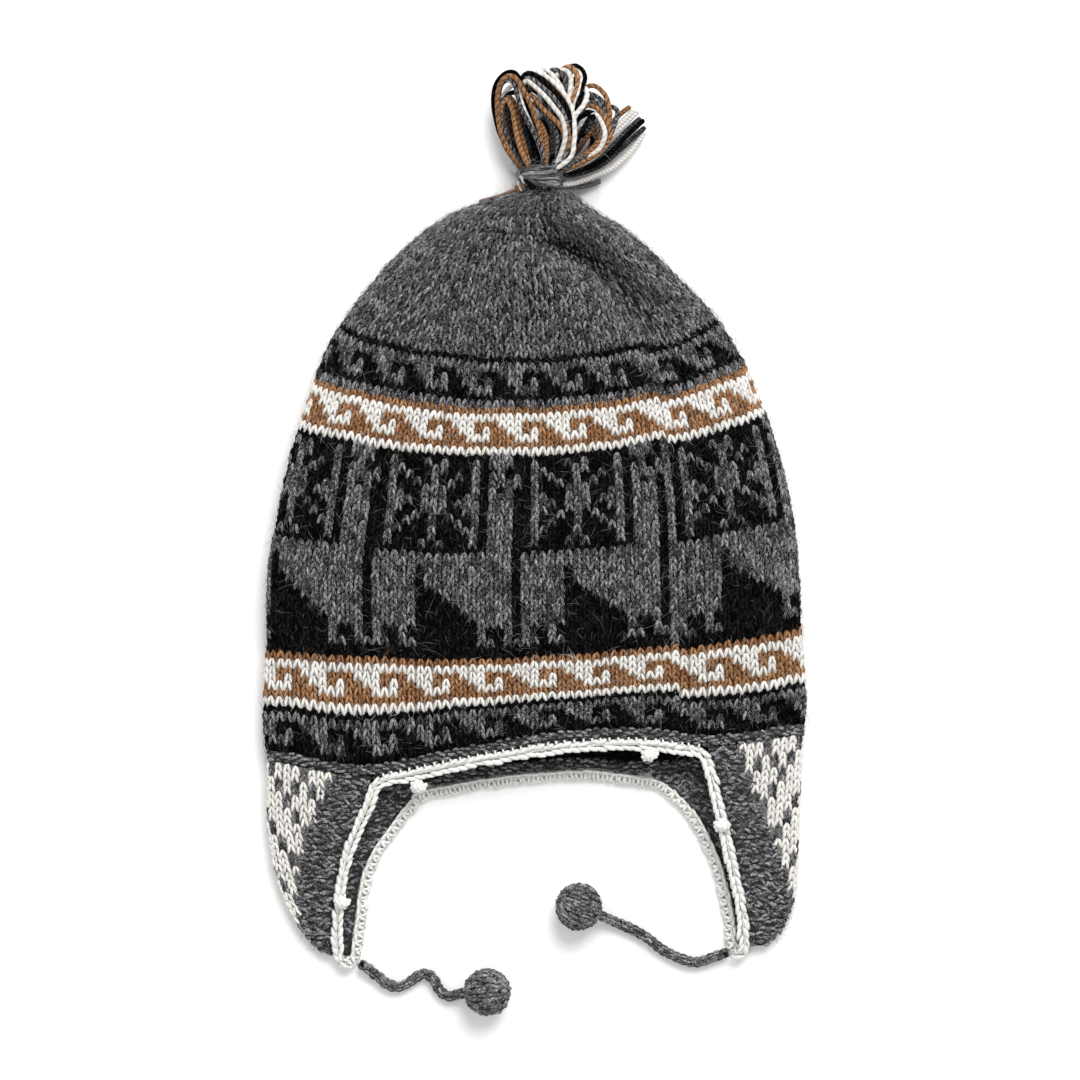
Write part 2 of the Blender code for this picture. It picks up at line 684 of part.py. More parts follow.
def lock(row, root):
    """One lock of the tassel: a pear-shaped body that grows out of the head."""
    mesh = bmesh.new()
    reach = row["reach"] * TASSEL_LENGTH
    bmesh.ops.create_uvsphere(mesh, u_segments=10, v_segments=9, radius=0.5)
    for vert in mesh.verts:
        far = vert.co.z + 0.5
        fullness = 0.75 + 0.45 * far
        vert.co.x *= row["width"] * TASSEL_LENGTH * fullness
        vert.co.y *= row["depth"] * TASSEL_LENGTH * fullness
        vert.co.z = far * reach
    lay = Matrix.Rotation(-math.radians(90), 3, "X")
    raise_up = Matrix.Rotation(math.radians(row["rise"]), 3, "X")
    swing = Matrix.Rotation(-math.radians(row["turn"]), 3, "Z")
    turn = swing @ raise_up @ lay
    for vert in mesh.verts:
        vert.co = root + turn @ vert.co
        vert.co.x += row["foot"] * BINDING_RADIUS
        vert.co.z = max(vert.co.z, PIECE_GAP)
    data = bpy.data.meshes.new("lock")
    turn_outwards(mesh)
    mesh.to_mesh(data)
    mesh.free()
    helper = bpy.data.objects.new("lock", data)
    bpy.context.scene.collection.objects.link(helper)
    helper.hide_render = True
    helper.display_type = "WIRE"
    return helper


def tassel():
    """The tassel: a head held in the binding, with locks of looped yarn fused to it."""
    mesh = bmesh.new()
    neck = neck_centre()
    length = BINDING_LENGTH + 2 * LOCK_ROOT
    bmesh.ops.create_cone(
        mesh, cap_ends=True, segments=20, radius1=HEAD_RADIUS, radius2=HEAD_RADIUS, depth=length
    )
    bmesh.ops.rotate(mesh, matrix=Matrix.Rotation(-math.radians(90), 3, "X"), verts=mesh.verts)
    bmesh.ops.translate(mesh, vec=neck + Vector((0, length / 2, 0)), verts=mesh.verts)
    turn_outwards(mesh)
    head = finish_object("tassel", mesh, BROWN_WOOL)
    root = neck + Vector((0, BINDING_LENGTH + LOCK_ROOT, 0))
    for row in LOCKS:
        helper = lock(row, root)
        union = head.modifiers.new("union", "BOOLEAN")
        union.operation = "UNION"
        union.solver = "EXACT"
        union.object = helper
    return head


def main():
    for old in list(bpy.data.objects):
        bpy.data.objects.remove(old, do_unlink=True)
    crown()
    hem_band()
    flap("flap_left", -1)
    flap("flap_right", 1)
    edging()
    tie("tie_left", LEFT_TIE)
    tie("tie_right", RIGHT_TIE)
    ball("ball_left", LEFT_TIE)
    ball("ball_right", RIGHT_TIE)
    binding()
    tassel()


main()
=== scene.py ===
"""Chullo: a knitted cap with ear flaps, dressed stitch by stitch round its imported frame.

Metres, +Z up, +Y from the hem to the crown's tip. Every yarn that shows is a short strand of its own:
a knit stitch is two legs, a garter ridge a row of bumps, the edging a chain of links.
"""

import math

import bmesh
import bpy
import numpy as np
from mathutils import Matrix, Vector


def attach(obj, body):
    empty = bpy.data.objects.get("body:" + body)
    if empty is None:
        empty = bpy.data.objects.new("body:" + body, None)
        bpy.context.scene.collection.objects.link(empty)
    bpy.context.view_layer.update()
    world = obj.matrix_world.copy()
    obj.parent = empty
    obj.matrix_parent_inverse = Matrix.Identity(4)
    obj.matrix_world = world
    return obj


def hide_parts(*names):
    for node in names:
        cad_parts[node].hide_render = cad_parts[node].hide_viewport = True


bl_info = {
    "name": "Knitted chullo",
    "version": (1, 0, 0),
    "blender": (4, 5, 0),
    "location": "View3D > Sidebar > Chullo",
    "description": "Knits a chullo with ear flaps, ties and a yarn tassel round its frame",
    "category": "Add Mesh",
}

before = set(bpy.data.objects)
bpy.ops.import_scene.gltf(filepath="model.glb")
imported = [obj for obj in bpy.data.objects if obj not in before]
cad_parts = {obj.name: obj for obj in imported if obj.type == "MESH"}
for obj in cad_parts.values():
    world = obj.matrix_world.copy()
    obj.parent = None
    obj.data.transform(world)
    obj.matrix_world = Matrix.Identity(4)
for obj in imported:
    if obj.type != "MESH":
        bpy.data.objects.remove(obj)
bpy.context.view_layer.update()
BODY = "root"

# The knit tube, as in the frame's own sections. along: 1 at the tip, 0 at the hem line, -1 at the flap tips.
# A value that a row of a table leaves out is 0.
HAT_WIDTH = 0.260
CROWN_LENGTH = 0.263
FLAP_LENGTH = 0.109
LYING_HEIGHT = 0.032
HEM_Y = -0.107
FOLD_ROUND = 0.014
FOLD_HEIGHT = 0.42
FOLD_LIMIT = 0.6
HEM_WAVE = 0.010
BACK_HANG = 0.0135
CORNER_POWER = 2.5
SECTIONS = (
    dict(along=-1.000, half=0.728, shift=0.019, height=0.300),
    dict(along=-0.912, half=0.834, shift=0.020, height=0.340),
    dict(along=-0.825, half=0.897, shift=0.027, height=0.380),
    dict(along=-0.649, half=0.956, shift=0.013, height=0.440),
    dict(along=-0.386, half=0.983, shift=-0.004, height=0.520),
    dict(along=-0.080, half=0.990, height=0.630),
    dict(along=0.076, half=1.000, height=0.700),
    dict(along=0.185, half=0.987, height=0.790),
    dict(along=0.313, half=0.976, shift=-0.004, height=0.880),
    dict(along=0.422, half=0.945, shift=0.002, height=0.940),
    dict(along=0.531, half=0.895, height=0.990),
    dict(along=0.640, half=0.820, shift=-0.002, height=1.000),
    dict(along=0.713, half=0.757, shift=-0.009, height=0.990),
    dict(along=0.785, half=0.664, shift=-0.015, height=0.970),
    dict(along=0.858, half=0.533, shift=-0.028, height=0.930),
    dict(along=0.895, half=0.458, shift=-0.029, height=0.890),
    dict(along=0.931, half=0.373, shift=-0.030, height=0.850, lift=0.01),
    dict(along=0.960, half=0.276, shift=-0.032, height=0.800, lift=0.03),
    dict(along=0.982, half=0.190, shift=-0.010, height=0.740, lift=0.05),
    dict(along=1.000, half=0.116, shift=0.022, height=0.680, lift=0.07),
)
DENTS = (
    dict(x0=0.05, up0=0.93, x1=0.44, up1=0.77, depth=0.20, reach=0.055),
    dict(x0=-0.10, up0=0.95, x1=-0.36, up1=0.80, depth=0.10, reach=0.060),
    dict(x0=0.10, up0=0.90, x1=0.16, up1=0.70, depth=0.07, reach=0.050),
    dict(x0=-0.52, up0=-0.05, x1=-0.46, up1=0.50, depth=0.11, reach=0.085),
    dict(x0=0.58, up0=-0.05, x1=0.52, up1=0.72, depth=0.08, reach=0.055),
    dict(x0=0.02, up0=0.30, x1=0.05, up1=0.62, depth=0.05, reach=0.090),
)
# The hem line. around: 0 right fold, 0.25 front middle, 0.5 left fold, 0.75 back middle.
HEM_LINE = (
    dict(around=0.000, wave=0.86),
    dict(around=0.047, wave=0.61),
    dict(around=0.088, wave=0.38),
    dict(around=0.115, wave=0.47),
    dict(around=0.152, wave=0.71),
    dict(around=0.217, wave=0.61),
    dict(around=0.250, wave=0.38),
    dict(around=0.300, wave=-0.06),
    dict(around=0.340, wave=-0.49),
    dict(around=0.380, wave=-0.92),
    dict(around=0.410, wave=-1.06),
    dict(around=0.440, wave=-0.87),
    dict(around=0.500, wave=-0.38),
    dict(around=0.600, wave=-0.25, hang=0.75),
    dict(around=0.655, wave=-0.25, hang=1.00),
    dict(around=0.700, wave=0.12, hang=1.00),
    dict(around=0.750, wave=0.42, hang=1.00),
    dict(around=0.800, wave=0.56, hang=1.00),
    dict(around=0.850, wave=0.32, hang=1.00),
    dict(around=0.920, wave=0.35, hang=0.60),
)
FLAP_EDGES = (
    dict(along=-1.00, left_front=0.724, left_back=0.664, right_front=0.775, right_back=0.738),
    dict(along=-0.88, left_front=0.728, left_back=0.652, right_front=0.771, right_back=0.728),
    dict(along=-0.76, left_front=0.722, left_back=0.640, right_front=0.764, right_back=0.715),
    dict(along=-0.60, left_front=0.707, left_back=0.620, right_front=0.737, right_back=0.685),
    dict(along=-0.47, left_front=0.680, left_back=0.570, right_front=0.712, right_back=0.645),
    dict(along=-0.35, left_front=0.637, left_back=0.496, right_front=0.690, right_back=0.59),
    dict(along=-0.25, left_front=0.600, left_back=0.43, right_front=0.668, right_back=0.52),
    dict(along=-0.18, left_front=0.583, left_back=0.39, right_front=0.655, right_back=0.44),
    dict(along=-0.07, left_front=0.572, left_back=0.34, right_front=0.628, right_back=0.34),
    dict(along=0.05, left_front=0.560, left_back=0.30, right_front=0.600, right_back=0.30),
)
BOBBLES = (
    dict(x=-0.425, along=-0.19),
    dict(x=0.420, along=-0.05),
    dict(x=-0.708, along=-0.70),
    dict(x=0.687, along=-0.36),
)
LEFT_TIP = -1.000
RIGHT_TIP = -0.955
CORNER_ALONG = -0.08
EDGING_WIDTH = 0.0052

# Routes of the two ties along the surface, from the flap's tip to its ball.
LEFT_TIE = (
    (-0.0838, -0.2136, 0.0044), (-0.0790, -0.2168, 0.0035), (-0.0749, -0.2202, 0.0029),
    (-0.0711, -0.2234, 0.0028), (-0.0665, -0.2251, 0.0028), (-0.0619, -0.2239, 0.0028),
    (-0.0577, -0.2210, 0.0028), (-0.0541, -0.2189, 0.0028), (-0.0509, -0.2191, 0.0028),
    (-0.0483, -0.2218, 0.0028), (-0.0462, -0.2255, 0.0028), (-0.0436, -0.2286, 0.0028),
    (-0.0403, -0.2296, 0.0030), (-0.0369, -0.2284, 0.0042), (-0.0335, -0.2280, 0.0064),
)
RIGHT_TIE = (
    (0.0926, -0.2084, 0.0044), (0.0875, -0.2100, 0.0034), (0.0824, -0.2121, 0.0029),
    (0.0771, -0.2131, 0.0028), (0.0711, -0.2118, 0.0028), (0.0650, -0.2092, 0.0028),
    (0.0598, -0.2060, 0.0028), (0.0555, -0.2027, 0.0028), (0.0511, -0.1997, 0.0028),
    (0.0459, -0.1970, 0.0028), (0.0402, -0.1944, 0.0032), (0.0356, -0.1922, 0.0044),
    (0.0312, -0.1903, 0.0064),
)

# Rows of knitting counted from the hem. middle is where the row runs in the middle of the front, rise how
# much higher it is at the folds, tilt how much higher at the right fold than half way.
ROW_LINES = (
    dict(row=0, middle=-0.1030, rise=-0.0014, tilt=0.0062),
    dict(row=13, middle=-0.0660, rise=0.0104, tilt=0.0061),
    dict(row=32, middle=-0.0070, rise=0.0165, tilt=0.0052),
    dict(row=51, middle=0.0526, rise=0.0211, tilt=0.0039),
    dict(row=58, middle=0.0765, rise=0.0213, tilt=0.0023),
    dict(row=74, middle=0.1220, rise=0.0130, tilt=0.0008),
    dict(row=87, middle=0.1560, rise=0.0000, tilt=0.0000),
)
HEM_FADE = 13
TOP_ROW = 87
PLAIN_FROM = 58
COLUMNS = 126
SEAM_COLUMN = 47
DECREASE_EVERY = 3
FEWEST_COLUMNS = 18
STITCH_WIDTH = 0.0041
ROW_PITCH = 0.0031
ROW_WANDER = 0.0005

# The charts, top row first. # and W are the pattern's own yarn, . and B its ground.
WAVE = (
    "BBBWWW",
    "BWBBWW",
    "WWBBBW",
)
LLAMA = (
    ".............###.",
    ".#...#.#...#.###.",
    ".##...##...#..#..",
    ".#.#..#..#.#.##.#",
    ".#..#.#.#..#.####",
    ".#...###...#.#.#.",
    ".##..###..##.###.",
    ".###.###.###.###.",
    ".##..###..##.###.",
    ".#..#.#.#..#.###.",
    ".#.#..#..#.#.###.",
    ".##...#...##.###.",
    ".#....#....#.###.",
    ".#...#.#...#.###.",
    ".............###.",
    "################.",
    "################.",
    "#####.##########.",
    "#####.##########.",
    "#####.##########.",
    "#####..#########.",
    "#####...########.",
    "#####....#######.",
    "#####.....######.",
    "#####......#####.",
    "#####.......####.",
    "#..#........#..#.",
    "#..#........#..#.",
    "##.##.......##.##",
    ".................",
    ".................",
)
LLAMA_STARTS = (-4, 13, 30, 48, 66, 85, 103, 122)
LLAMA_BASE_ROW = 13


def wave_rows(base, phase, ground, figure):
    """The three rows of a wave band, from the row at its foot."""
    return [
        dict(row=base + 2 - i, chart=WAVE[i], phase=phase, ground=ground, figure=figure) for i in range(3)
    ]


# Rows in one yarn, from the hem up, and the wave bands between them.
SOLID_ROWS = {
    0: "black", 4: "grey", 5: "black", 6: "white", 7: "brown", 11: "white", 12: "brown",
    44: "white", 45: "brown", 49: "white", 50: "brown", 51: "grey", 52: "black", 56: "grey", 57: "black",
}
WAVE_ROWS = {
    w["row"]: w
    for w in [
        *wave_rows(1, 2, "black", "grey"), *wave_rows(8, 2, "brown", "white"),
        *wave_rows(46, 0, "brown", "white"), *wave_rows(53, 0, "black", "grey"),
    ]
}


def yarn_of(row, column):
    """The yarn of a stitch, counted from the hem and from the left fold over the front."""
    if row in SOLID_ROWS:
        return SOLID_ROWS[row]
    if row in WAVE_ROWS:
        wave = WAVE_ROWS[row]
        mark = wave["chart"][(column - wave["phase"] - (column > SEAM_COLUMN)) % len(WAVE[0])]
        return wave["ground"] if mark == "B" else wave["figure"]
    if row >= PLAIN_FROM:
        return "grey"
    if column == SEAM_COLUMN:
        return "grey"
    start = max(s for s in LLAMA_STARTS if s <= column)
    line = LLAMA[len(LLAMA) - 1 - (row - LLAMA_BASE_ROW)]
    place = column - start
    return "grey" if place < len(line) and line[place] == "#" else "black"


def strand(yarn, low, high, *route):
    """One row of the tassel's tables."""
    return dict(yarn=yarn, low=low, high=high, route=route)


# Yarn in the tassel: loops that leave the binding, turn at their far end and come back on top, and cut
# ends. Places are in millimetres from the middle of the binding's foot, low and high the height of a
# loop's way out and of its way back, or of an end's tip and its middle.
LOOPS = (
    strand("black", 8, 15,
        (-7, 10.3), (-15.2, 20.8), (-19.1, 31.2), (-19.6, 37.8), (-17.4, 43.8), (-13, 47.1),
        (-8.6, 43.3), (-5.4, 32.3), (-3.2, 20.8), (-1.5, 10.3),
    ),
    strand("black", 10, 18,
        (-8.1, 10.3), (-18.5, 24.6), (-21.8, 35.6), (-22.6, 44.4), (-21.3, 50.9), (-17.4, 55.6),
        (-12.5, 56.2), (-9.2, 50.9), (-5.4, 40), (-0.4, 25.7), (1.8, 10.3),
    ),
    strand("brown", 12, 24,
        (-7.6, 10.3), (-16.3, 21.9), (-19.9, 33.4), (-20.7, 42.7), (-19.3, 50.4), (-15.8, 54),
        (-11.9, 52.9), (-7.8, 46.3), (-3.2, 36.7), (0.7, 26.2), (3.7, 12.5),
    ),
    strand("grey", 11, 23,
        (-7, 10.3), (-14.7, 21.3), (-18.5, 32.3), (-19.9, 41.1), (-19.1, 49.3), (-15.5, 53),
        (-12.2, 49.8), (-9.7, 40), (-4.8, 29), (-0.4, 19.1), (1.2, 10.9),
    ),
    strand("white", 9, 22.5,
        (-6.5, 10.3), (-14.1, 21.3), (-18.3, 32.3), (-20.2, 41.1), (-19.5, 49), (-15.8, 52.3),
        (-11.1, 48.5), (-8.5, 39.4), (-3.8, 29), (0.5, 19.1), (2, 10.9),
    ),
    strand("brown", 8, 17,
        (-7.6, 10.3), (-12.5, 18), (-16.3, 29), (-18.3, 37.8), (-17.2, 42.7), (-14.7, 44.4),
        (-11.4, 38.9), (-9.7, 29), (-7, 20.2), (-4.3, 10.9),
    ),
    strand("grey", 8, 15,
        (-5.9, 10.3), (-10.8, 18), (-14.1, 27.9), (-15.2, 36.7), (-13.6, 41.1), (-10.3, 36.7),
        (-7.6, 27.9), (-5.4, 19.1), (-3.2, 10.3),
    ),
    strand("black", 7, 14,
        (-5.4, 10.3), (-9.7, 19.1), (-12.5, 29), (-12.5, 35.6), (-10.3, 37.8), (-7, 32.3),
        (-4.8, 23.5), (-2.6, 10.3),
    ),
    strand("brown", 10, 18,
        (-7.8, 10.3), (-14.7, 19.1), (-17.7, 29), (-19.1, 36.7), (-18, 41.6), (-15.8, 43.3),
        (-13, 36.7), (-11.9, 27.9), (-9.7, 19.1), (-5.9, 10.9),
    ),
    strand("black", 9, 24,
        (-3.2, 10.3), (-5.9, 23.5), (-8.6, 40), (-9.7, 50.9), (-7, 55.6), (-2.6, 54.8), (4, 49.3),
        (10.6, 41.6), (14.4, 33.4), (14.9, 23.5), (12.8, 14.7), (6.2, 9.8),
    ),
    strand("grey", 9, 23,
        (-3.2, 10.3), (-5.9, 23.5), (-8.1, 38.9), (-8.6, 49.3), (-5.4, 53.7), (1.8, 48.2), (7.3, 42.2),
        (11.7, 34.5), (12.8, 24.6), (10.6, 16.4), (5.1, 9.8),
    ),
    strand("white", 8, 25.5,
        (-2.6, 10.3), (-5.4, 23.5), (-7.6, 38.9), (-8.6, 48.7), (-7, 52), (-4.3, 50.4), (1.8, 44.4),
        (6.7, 38.3), (10, 33.4), (11.1, 25.7), (8.9, 18), (4.5, 9.8),
    ),
    strand("brown", 8, 24.5,
        (-2.1, 10.3), (-4.3, 23.5), (-5.9, 34.5), (-6.5, 42.7), (-4.3, 45.2), (1.2, 38.3), (8.4, 31.2),
        (11.7, 25.7), (11.9, 20.2), (9.5, 14.7), (4.5, 9.8),
    ),
    strand("white", 9, 23,
        (-2.6, 10.3), (-5.4, 24.6), (-7, 41.1), (-7.6, 52), (-5.4, 56.4), (1.8, 54.5), (8.4, 48.7),
        (13.8, 41.1), (15.8, 33.4), (16.3, 23.5), (14.4, 15.3), (7.3, 9.8),
    ),
    strand("brown", 9, 22.5,
        (-2.1, 10.3), (-4.8, 24.6), (-6.5, 41.1), (-7, 50.9), (-4.3, 55.6), (1.8, 53.6), (7.7, 47.6),
        (13, 40), (14.9, 32.3), (15.6, 23.5), (13.8, 15.3), (6.7, 9.8),
    ),
    strand("grey", 9, 21,
        (-1.5, 10.3), (-3.2, 20.8), (-4.8, 33.4), (-4.3, 41.1), (-0.4, 38.9), (5.1, 32.3), (8.4, 24.6),
        (7.3, 16.9), (4, 9.8),
    ),
    strand("black", 9, 19,
        (-1.5, 10.3), (-2.6, 20.2), (-3.2, 29), (-1.5, 33.4), (2.9, 30.1), (6.2, 23.5), (5.1, 16.4),
        (2.9, 9.8),
    ),
    strand("grey", 9, 22.5,
        (-0.4, 10.3), (-0.4, 20.2), (-0.4, 29), (1.8, 34.5), (4.5, 31.2), (6.2, 23.5), (5.6, 16.4),
        (4, 9.8),
    ),
    strand("brown", 8, 20,
        (-3.2, 10.3), (-3.2, 18), (-4.3, 25.7), (-3.7, 32.3), (-0.4, 32.3), (2.3, 25.7), (3.4, 19.1),
        (3.4, 10.3),
    ),
    strand("white", 12, 20,
        (1.8, 10.3), (0.7, 29), (-0.4, 45.5), (0.1, 54.8), (2.3, 57.8), (5.6, 54.8), (9.5, 49.3),
        (13.3, 41.6), (14.4, 33.4), (12.8, 20.2), (6.2, 9.8),
    ),
    strand("grey", 12, 21,
        (2.3, 10.3), (1.8, 29), (1.8, 45.5), (3.4, 55.3), (6.7, 57.5), (10.6, 55.1), (12.5, 49.8),
        (13, 42.2), (14.4, 33.4), (13.3, 20.2), (6.7, 9.8),
    ),
    strand("grey", 11, 20,
        (2.9, 10.3), (2.6, 29), (2.9, 45.5), (5.1, 54.8), (8.4, 56.7), (11.4, 53.7), (12.8, 47.6),
        (13.6, 40), (14.7, 31.2), (13.3, 19.1), (6.7, 9.8),
    ),
    strand("white", 12, 22,
        (3.4, 10.3), (4, 29), (5.1, 45.5), (7.8, 54.8), (11.4, 57.5), (14.4, 53.4), (14.1, 47.6),
        (13.6, 41.6), (14.9, 32.3), (13.8, 19.1), (7.3, 9.8),
    ),
    strand("brown", 12, 22.5,
        (4, 10.3), (5.1, 29), (6.7, 45.5), (8.9, 55.3), (12.8, 58.9), (16.3, 56.7), (17.7, 51.5),
        (16.3, 45.5), (14.4, 40), (14.9, 30.1), (13.3, 18), (7.3, 9.8),
    ),
    strand("black", 12, 21.5,
        (4.5, 10.3), (6.2, 29), (8.4, 45.5), (11.1, 55.3), (15.5, 59.4), (19.6, 57.2), (21.1, 53.1),
        (19.6, 48.5), (16.6, 42.7), (15.5, 34.5), (14.4, 19.1), (7.8, 9.8),
    ),
    strand("white", 11, 22,
        (5.1, 10.3), (7.3, 29), (9.5, 45.5), (12.8, 54.2), (16.6, 57.2), (19.1, 55.6), (19.3, 51.5),
        (17.7, 46.5), (15.5, 41.1), (15.2, 31.7), (13.8, 19.1), (7.8, 9.8),
    ),
    strand("black", 10, 19,
        (6.2, 9.8), (8.4, 23.5), (10.6, 38.9), (13.8, 48.7), (17.7, 54.2), (20.4, 50.9), (19.3, 44.4),
        (17.1, 37.8), (16, 29), (14.4, 18), (8.4, 9.8),
    ),
    strand("white", 11, 23,
        (6.2, 9.8), (9.5, 18), (14.4, 29), (17.7, 38.9), (19.9, 45.5), (20.7, 49), (22.2, 45.5),
        (20.4, 40), (17.7, 36.7), (15.5, 32.3), (14.4, 20.2), (8.4, 9.8),
    ),
    strand("brown", 12, 22,
        (6.7, 9.8), (11.7, 18), (16, 30.1), (18.8, 41.1), (21.5, 48.7), (25.9, 49.6), (30.3, 45.7),
        (32.4, 40), (32.8, 33.4), (30.6, 27.3), (23.7, 18), (10.6, 9.5),
    ),
    strand("brown", 10, 24,
        (6.7, 9.8), (10.6, 20.2), (14.9, 31.7), (18.2, 38.9), (22.1, 40.6), (27.6, 38.3), (31.4, 32.3),
        (33.2, 25.7), (30.6, 20.8), (24.8, 15.8), (10.6, 9.3),
    ),
    strand("grey", 11, 21,
        (6.7, 9.8), (12.2, 20.2), (17.1, 34.5), (19.3, 43.3), (22.4, 46.3), (28.4, 43.3), (31.4, 37.8),
        (32.8, 32.3), (32, 25.7), (25.9, 18), (10.6, 9.3),
    ),
    strand("grey", 11, 22,
        (6.7, 9.8), (11.7, 20.2), (17.1, 32.3), (21, 40), (26.5, 41.6), (30.3, 38.9), (32.1, 32.3),
        (31.4, 25.7), (25.9, 18), (10.6, 9.3),
    ),
    strand("white", 10, 25,
        (6.7, 9.8), (9.5, 18), (12.8, 25.7), (16.6, 29.5), (22.1, 32.3), (25.9, 36.1), (29.2, 31.7),
        (30.6, 25.7), (28.8, 20.8), (25.4, 17.5), (10.6, 9.2),
    ),
    strand("black", 10, 23,
        (6.7, 9.8), (9.5, 20.2), (13.3, 29), (17.1, 33.7), (23.7, 36.7), (28.7, 34.5), (30.9, 29),
        (29.2, 21.3), (10.6, 9.3),
    ),
    strand("grey", 10, 23,
        (6.7, 9.8), (10, 19.1), (14.4, 25.7), (17.7, 27.6), (23.2, 29.5), (25.9, 33.9), (27.8, 29),
        (27.6, 22.4), (23.7, 16.9), (10.6, 9.2),
    ),
    strand("brown", 9, 24,
        (6.7, 9.8), (9.5, 14.7), (15.5, 19.1), (20.4, 23.5), (25.9, 30.1), (28.1, 32.3), (29.2, 27.9),
        (27.6, 21.9), (20.4, 15.3), (10.6, 9.2),
    ),
    strand("brown", 9, 23.5,
        (6.2, 9.5), (10.6, 9.2), (17.7, 13.6), (23.2, 20.8), (27.6, 31.2), (29.2, 34.5), (30.3, 29),
        (28.7, 21.9), (22.1, 14.7), (10.6, 9.1),
    ),
    strand("black", 8, 22,
        (6.7, 9.5), (14.9, 11.4), (23.2, 15.3), (28.1, 24.6), (26.5, 33.4), (23.7, 34.5), (20.4, 29),
        (14.9, 19.1), (8.4, 9.8),
    ),
    strand("grey", 9, 15,
        (9.5, 9.8), (20.4, 23.5), (28.7, 36.7), (33.1, 40.2), (36.6, 38.3), (35.8, 33.4), (32.5, 25.7),
        (23.7, 15.8), (10.6, 9.2),
    ),
)
ENDS = (
    strand("brown", 11, 13,
        (9.5, 9.2), (20.4, 14.7), (28.7, 23.5), (34.2, 32.3), (38, 36.7), (42.9, 40.5),
    ),
    strand("white", 9, 12,
        (9.5, 9), (21.5, 14.2), (30.3, 22.4), (35.8, 30.1), (40.2, 34.5), (45.1, 39.4),
    ),
    strand("white", 8, 12,
        (9.5, 8.7), (23.2, 14.7), (30.3, 20.8), (34.2, 26.8), (39.6, 31.7), (46.8, 38.9),
    ),
    strand("black", 7, 11,
        (10.6, 7.6), (20.4, 10.3), (28.7, 14.7), (35.2, 20.2), (41.3, 26.8), (49.5, 34.5),
    ),
    strand("grey", 5, 10,
        (10.6, 8.1), (20.4, 11.4), (28.7, 16.4), (34.7, 22.4), (40.2, 28.4), (47.9, 35.6),
    ),
    strand("grey", 5, 9,
        (11.7, 7), (20.4, 9), (28.7, 12.5), (36.9, 19.1), (44, 25.7), (50.1, 31.2),
    ),
    strand("white", 4, 8,
        (10.6, 2.7), (17.7, 4.3), (25.9, 7.6), (34.2, 11.4), (42.4, 18.6), (50.1, 29),
    ),
    strand("white", 3, 6,
        (10.6, 3.2), (18.2, 4.8), (26.5, 8.4), (34.2, 12.5), (41.8, 19.1), (48.4, 27.9),
    ),
    strand("grey", 3, 6, (9.5, 2.1), (20.4, 2.7), (28.7, 5.4)),
)
# Short bits of yarn over the left of the binding, and a stray end behind the neck.
BITS = (
    dict(yarn="white", route=((-9.7, 6.5), (-8.5, 4.6), (-7.6, 3.0))),
    dict(yarn="white", route=((-11.0, 4.2), (-9.9, 1.6), (-8.9, -0.4))),
    dict(yarn="brown", route=((-12.0, 2.2), (-10.9, 0.4), (-10.2, -1.6))),
    dict(yarn="brown", route=((-9.4, 3.4), (-8.4, 1.6), (-7.9, -0.4))),
    dict(yarn="black", route=((-9.7, 5.4), (-6.4, 3.4), (-2.6, 0.6))),
    dict(yarn="grey", route=((-7.0, 6.5), (-4.6, 4.2), (-1.5, 2.1))),
)
STRAY = ((-29.5, -4.4, 5.0), (-24.0, -3.2, 6.0), (-18.5, -1.6, 7.0), (-13.5, 0.2, 8.0), (-8.0, 1.5, 9.0))

# Soft folds of the crown's front, as routes of (x, y, depth): valleys, and ridges with a depth below 0.
FOLDS = (
    dict(reach=0.0070, route=(
        (-0.0120, 0.1345, 0.0010), (-0.0040, 0.1330, 0.0060), (0.0080, 0.1310, 0.0105),
        (0.0203, 0.1270, 0.0135), (0.0332, 0.1190, 0.0135), (0.0466, 0.1055, 0.0105),
        (0.0600, 0.0920, 0.0015),
    )),
    dict(reach=0.0042, route=((0.0030, 0.1540, 0.0030), (0.0052, 0.1440, 0.0030), (0.0080, 0.1360, 0.0010))),
    dict(reach=0.0042, route=((-0.0080, 0.1510, 0.0020), (-0.0220, 0.1400, 0.0010))),
    dict(reach=0.0085, route=(
        (0.0180, 0.1440, -0.0020), (0.0450, 0.1300, -0.0030), (0.0700, 0.1050, -0.0010),
    )),
    dict(reach=0.0100, route=(
        (-0.0020, 0.1240, -0.0024), (0.0160, 0.1090, -0.0030), (0.0330, 0.0960, -0.0010),
    )),
    dict(reach=0.0100, route=((-0.0060, 0.1230, -0.0024), (-0.0330, 0.0860, -0.0010))),
    dict(reach=0.0090, route=((-0.0180, 0.1330, 0.0026), (-0.0560, 0.1000, 0.0010))),
    dict(reach=0.0055, route=((0.0740, -0.0350, 0.0016), (0.0720, -0.0900, 0.0024))),
    dict(reach=0.0065, route=((-0.0620, -0.0500, 0.0010), (-0.0580, -0.0980, 0.0020))),
    dict(reach=0.0100, route=((-0.0460, 0.0500, 0.0018), (-0.0440, -0.0500, 0.0018))),
    dict(reach=0.0100, route=((0.0300, 0.0550, 0.0016), (0.0340, -0.0400, 0.0016))),
)

NECK = Vector((0.0029, 0.1563, 0.0120))
MM = 0.001


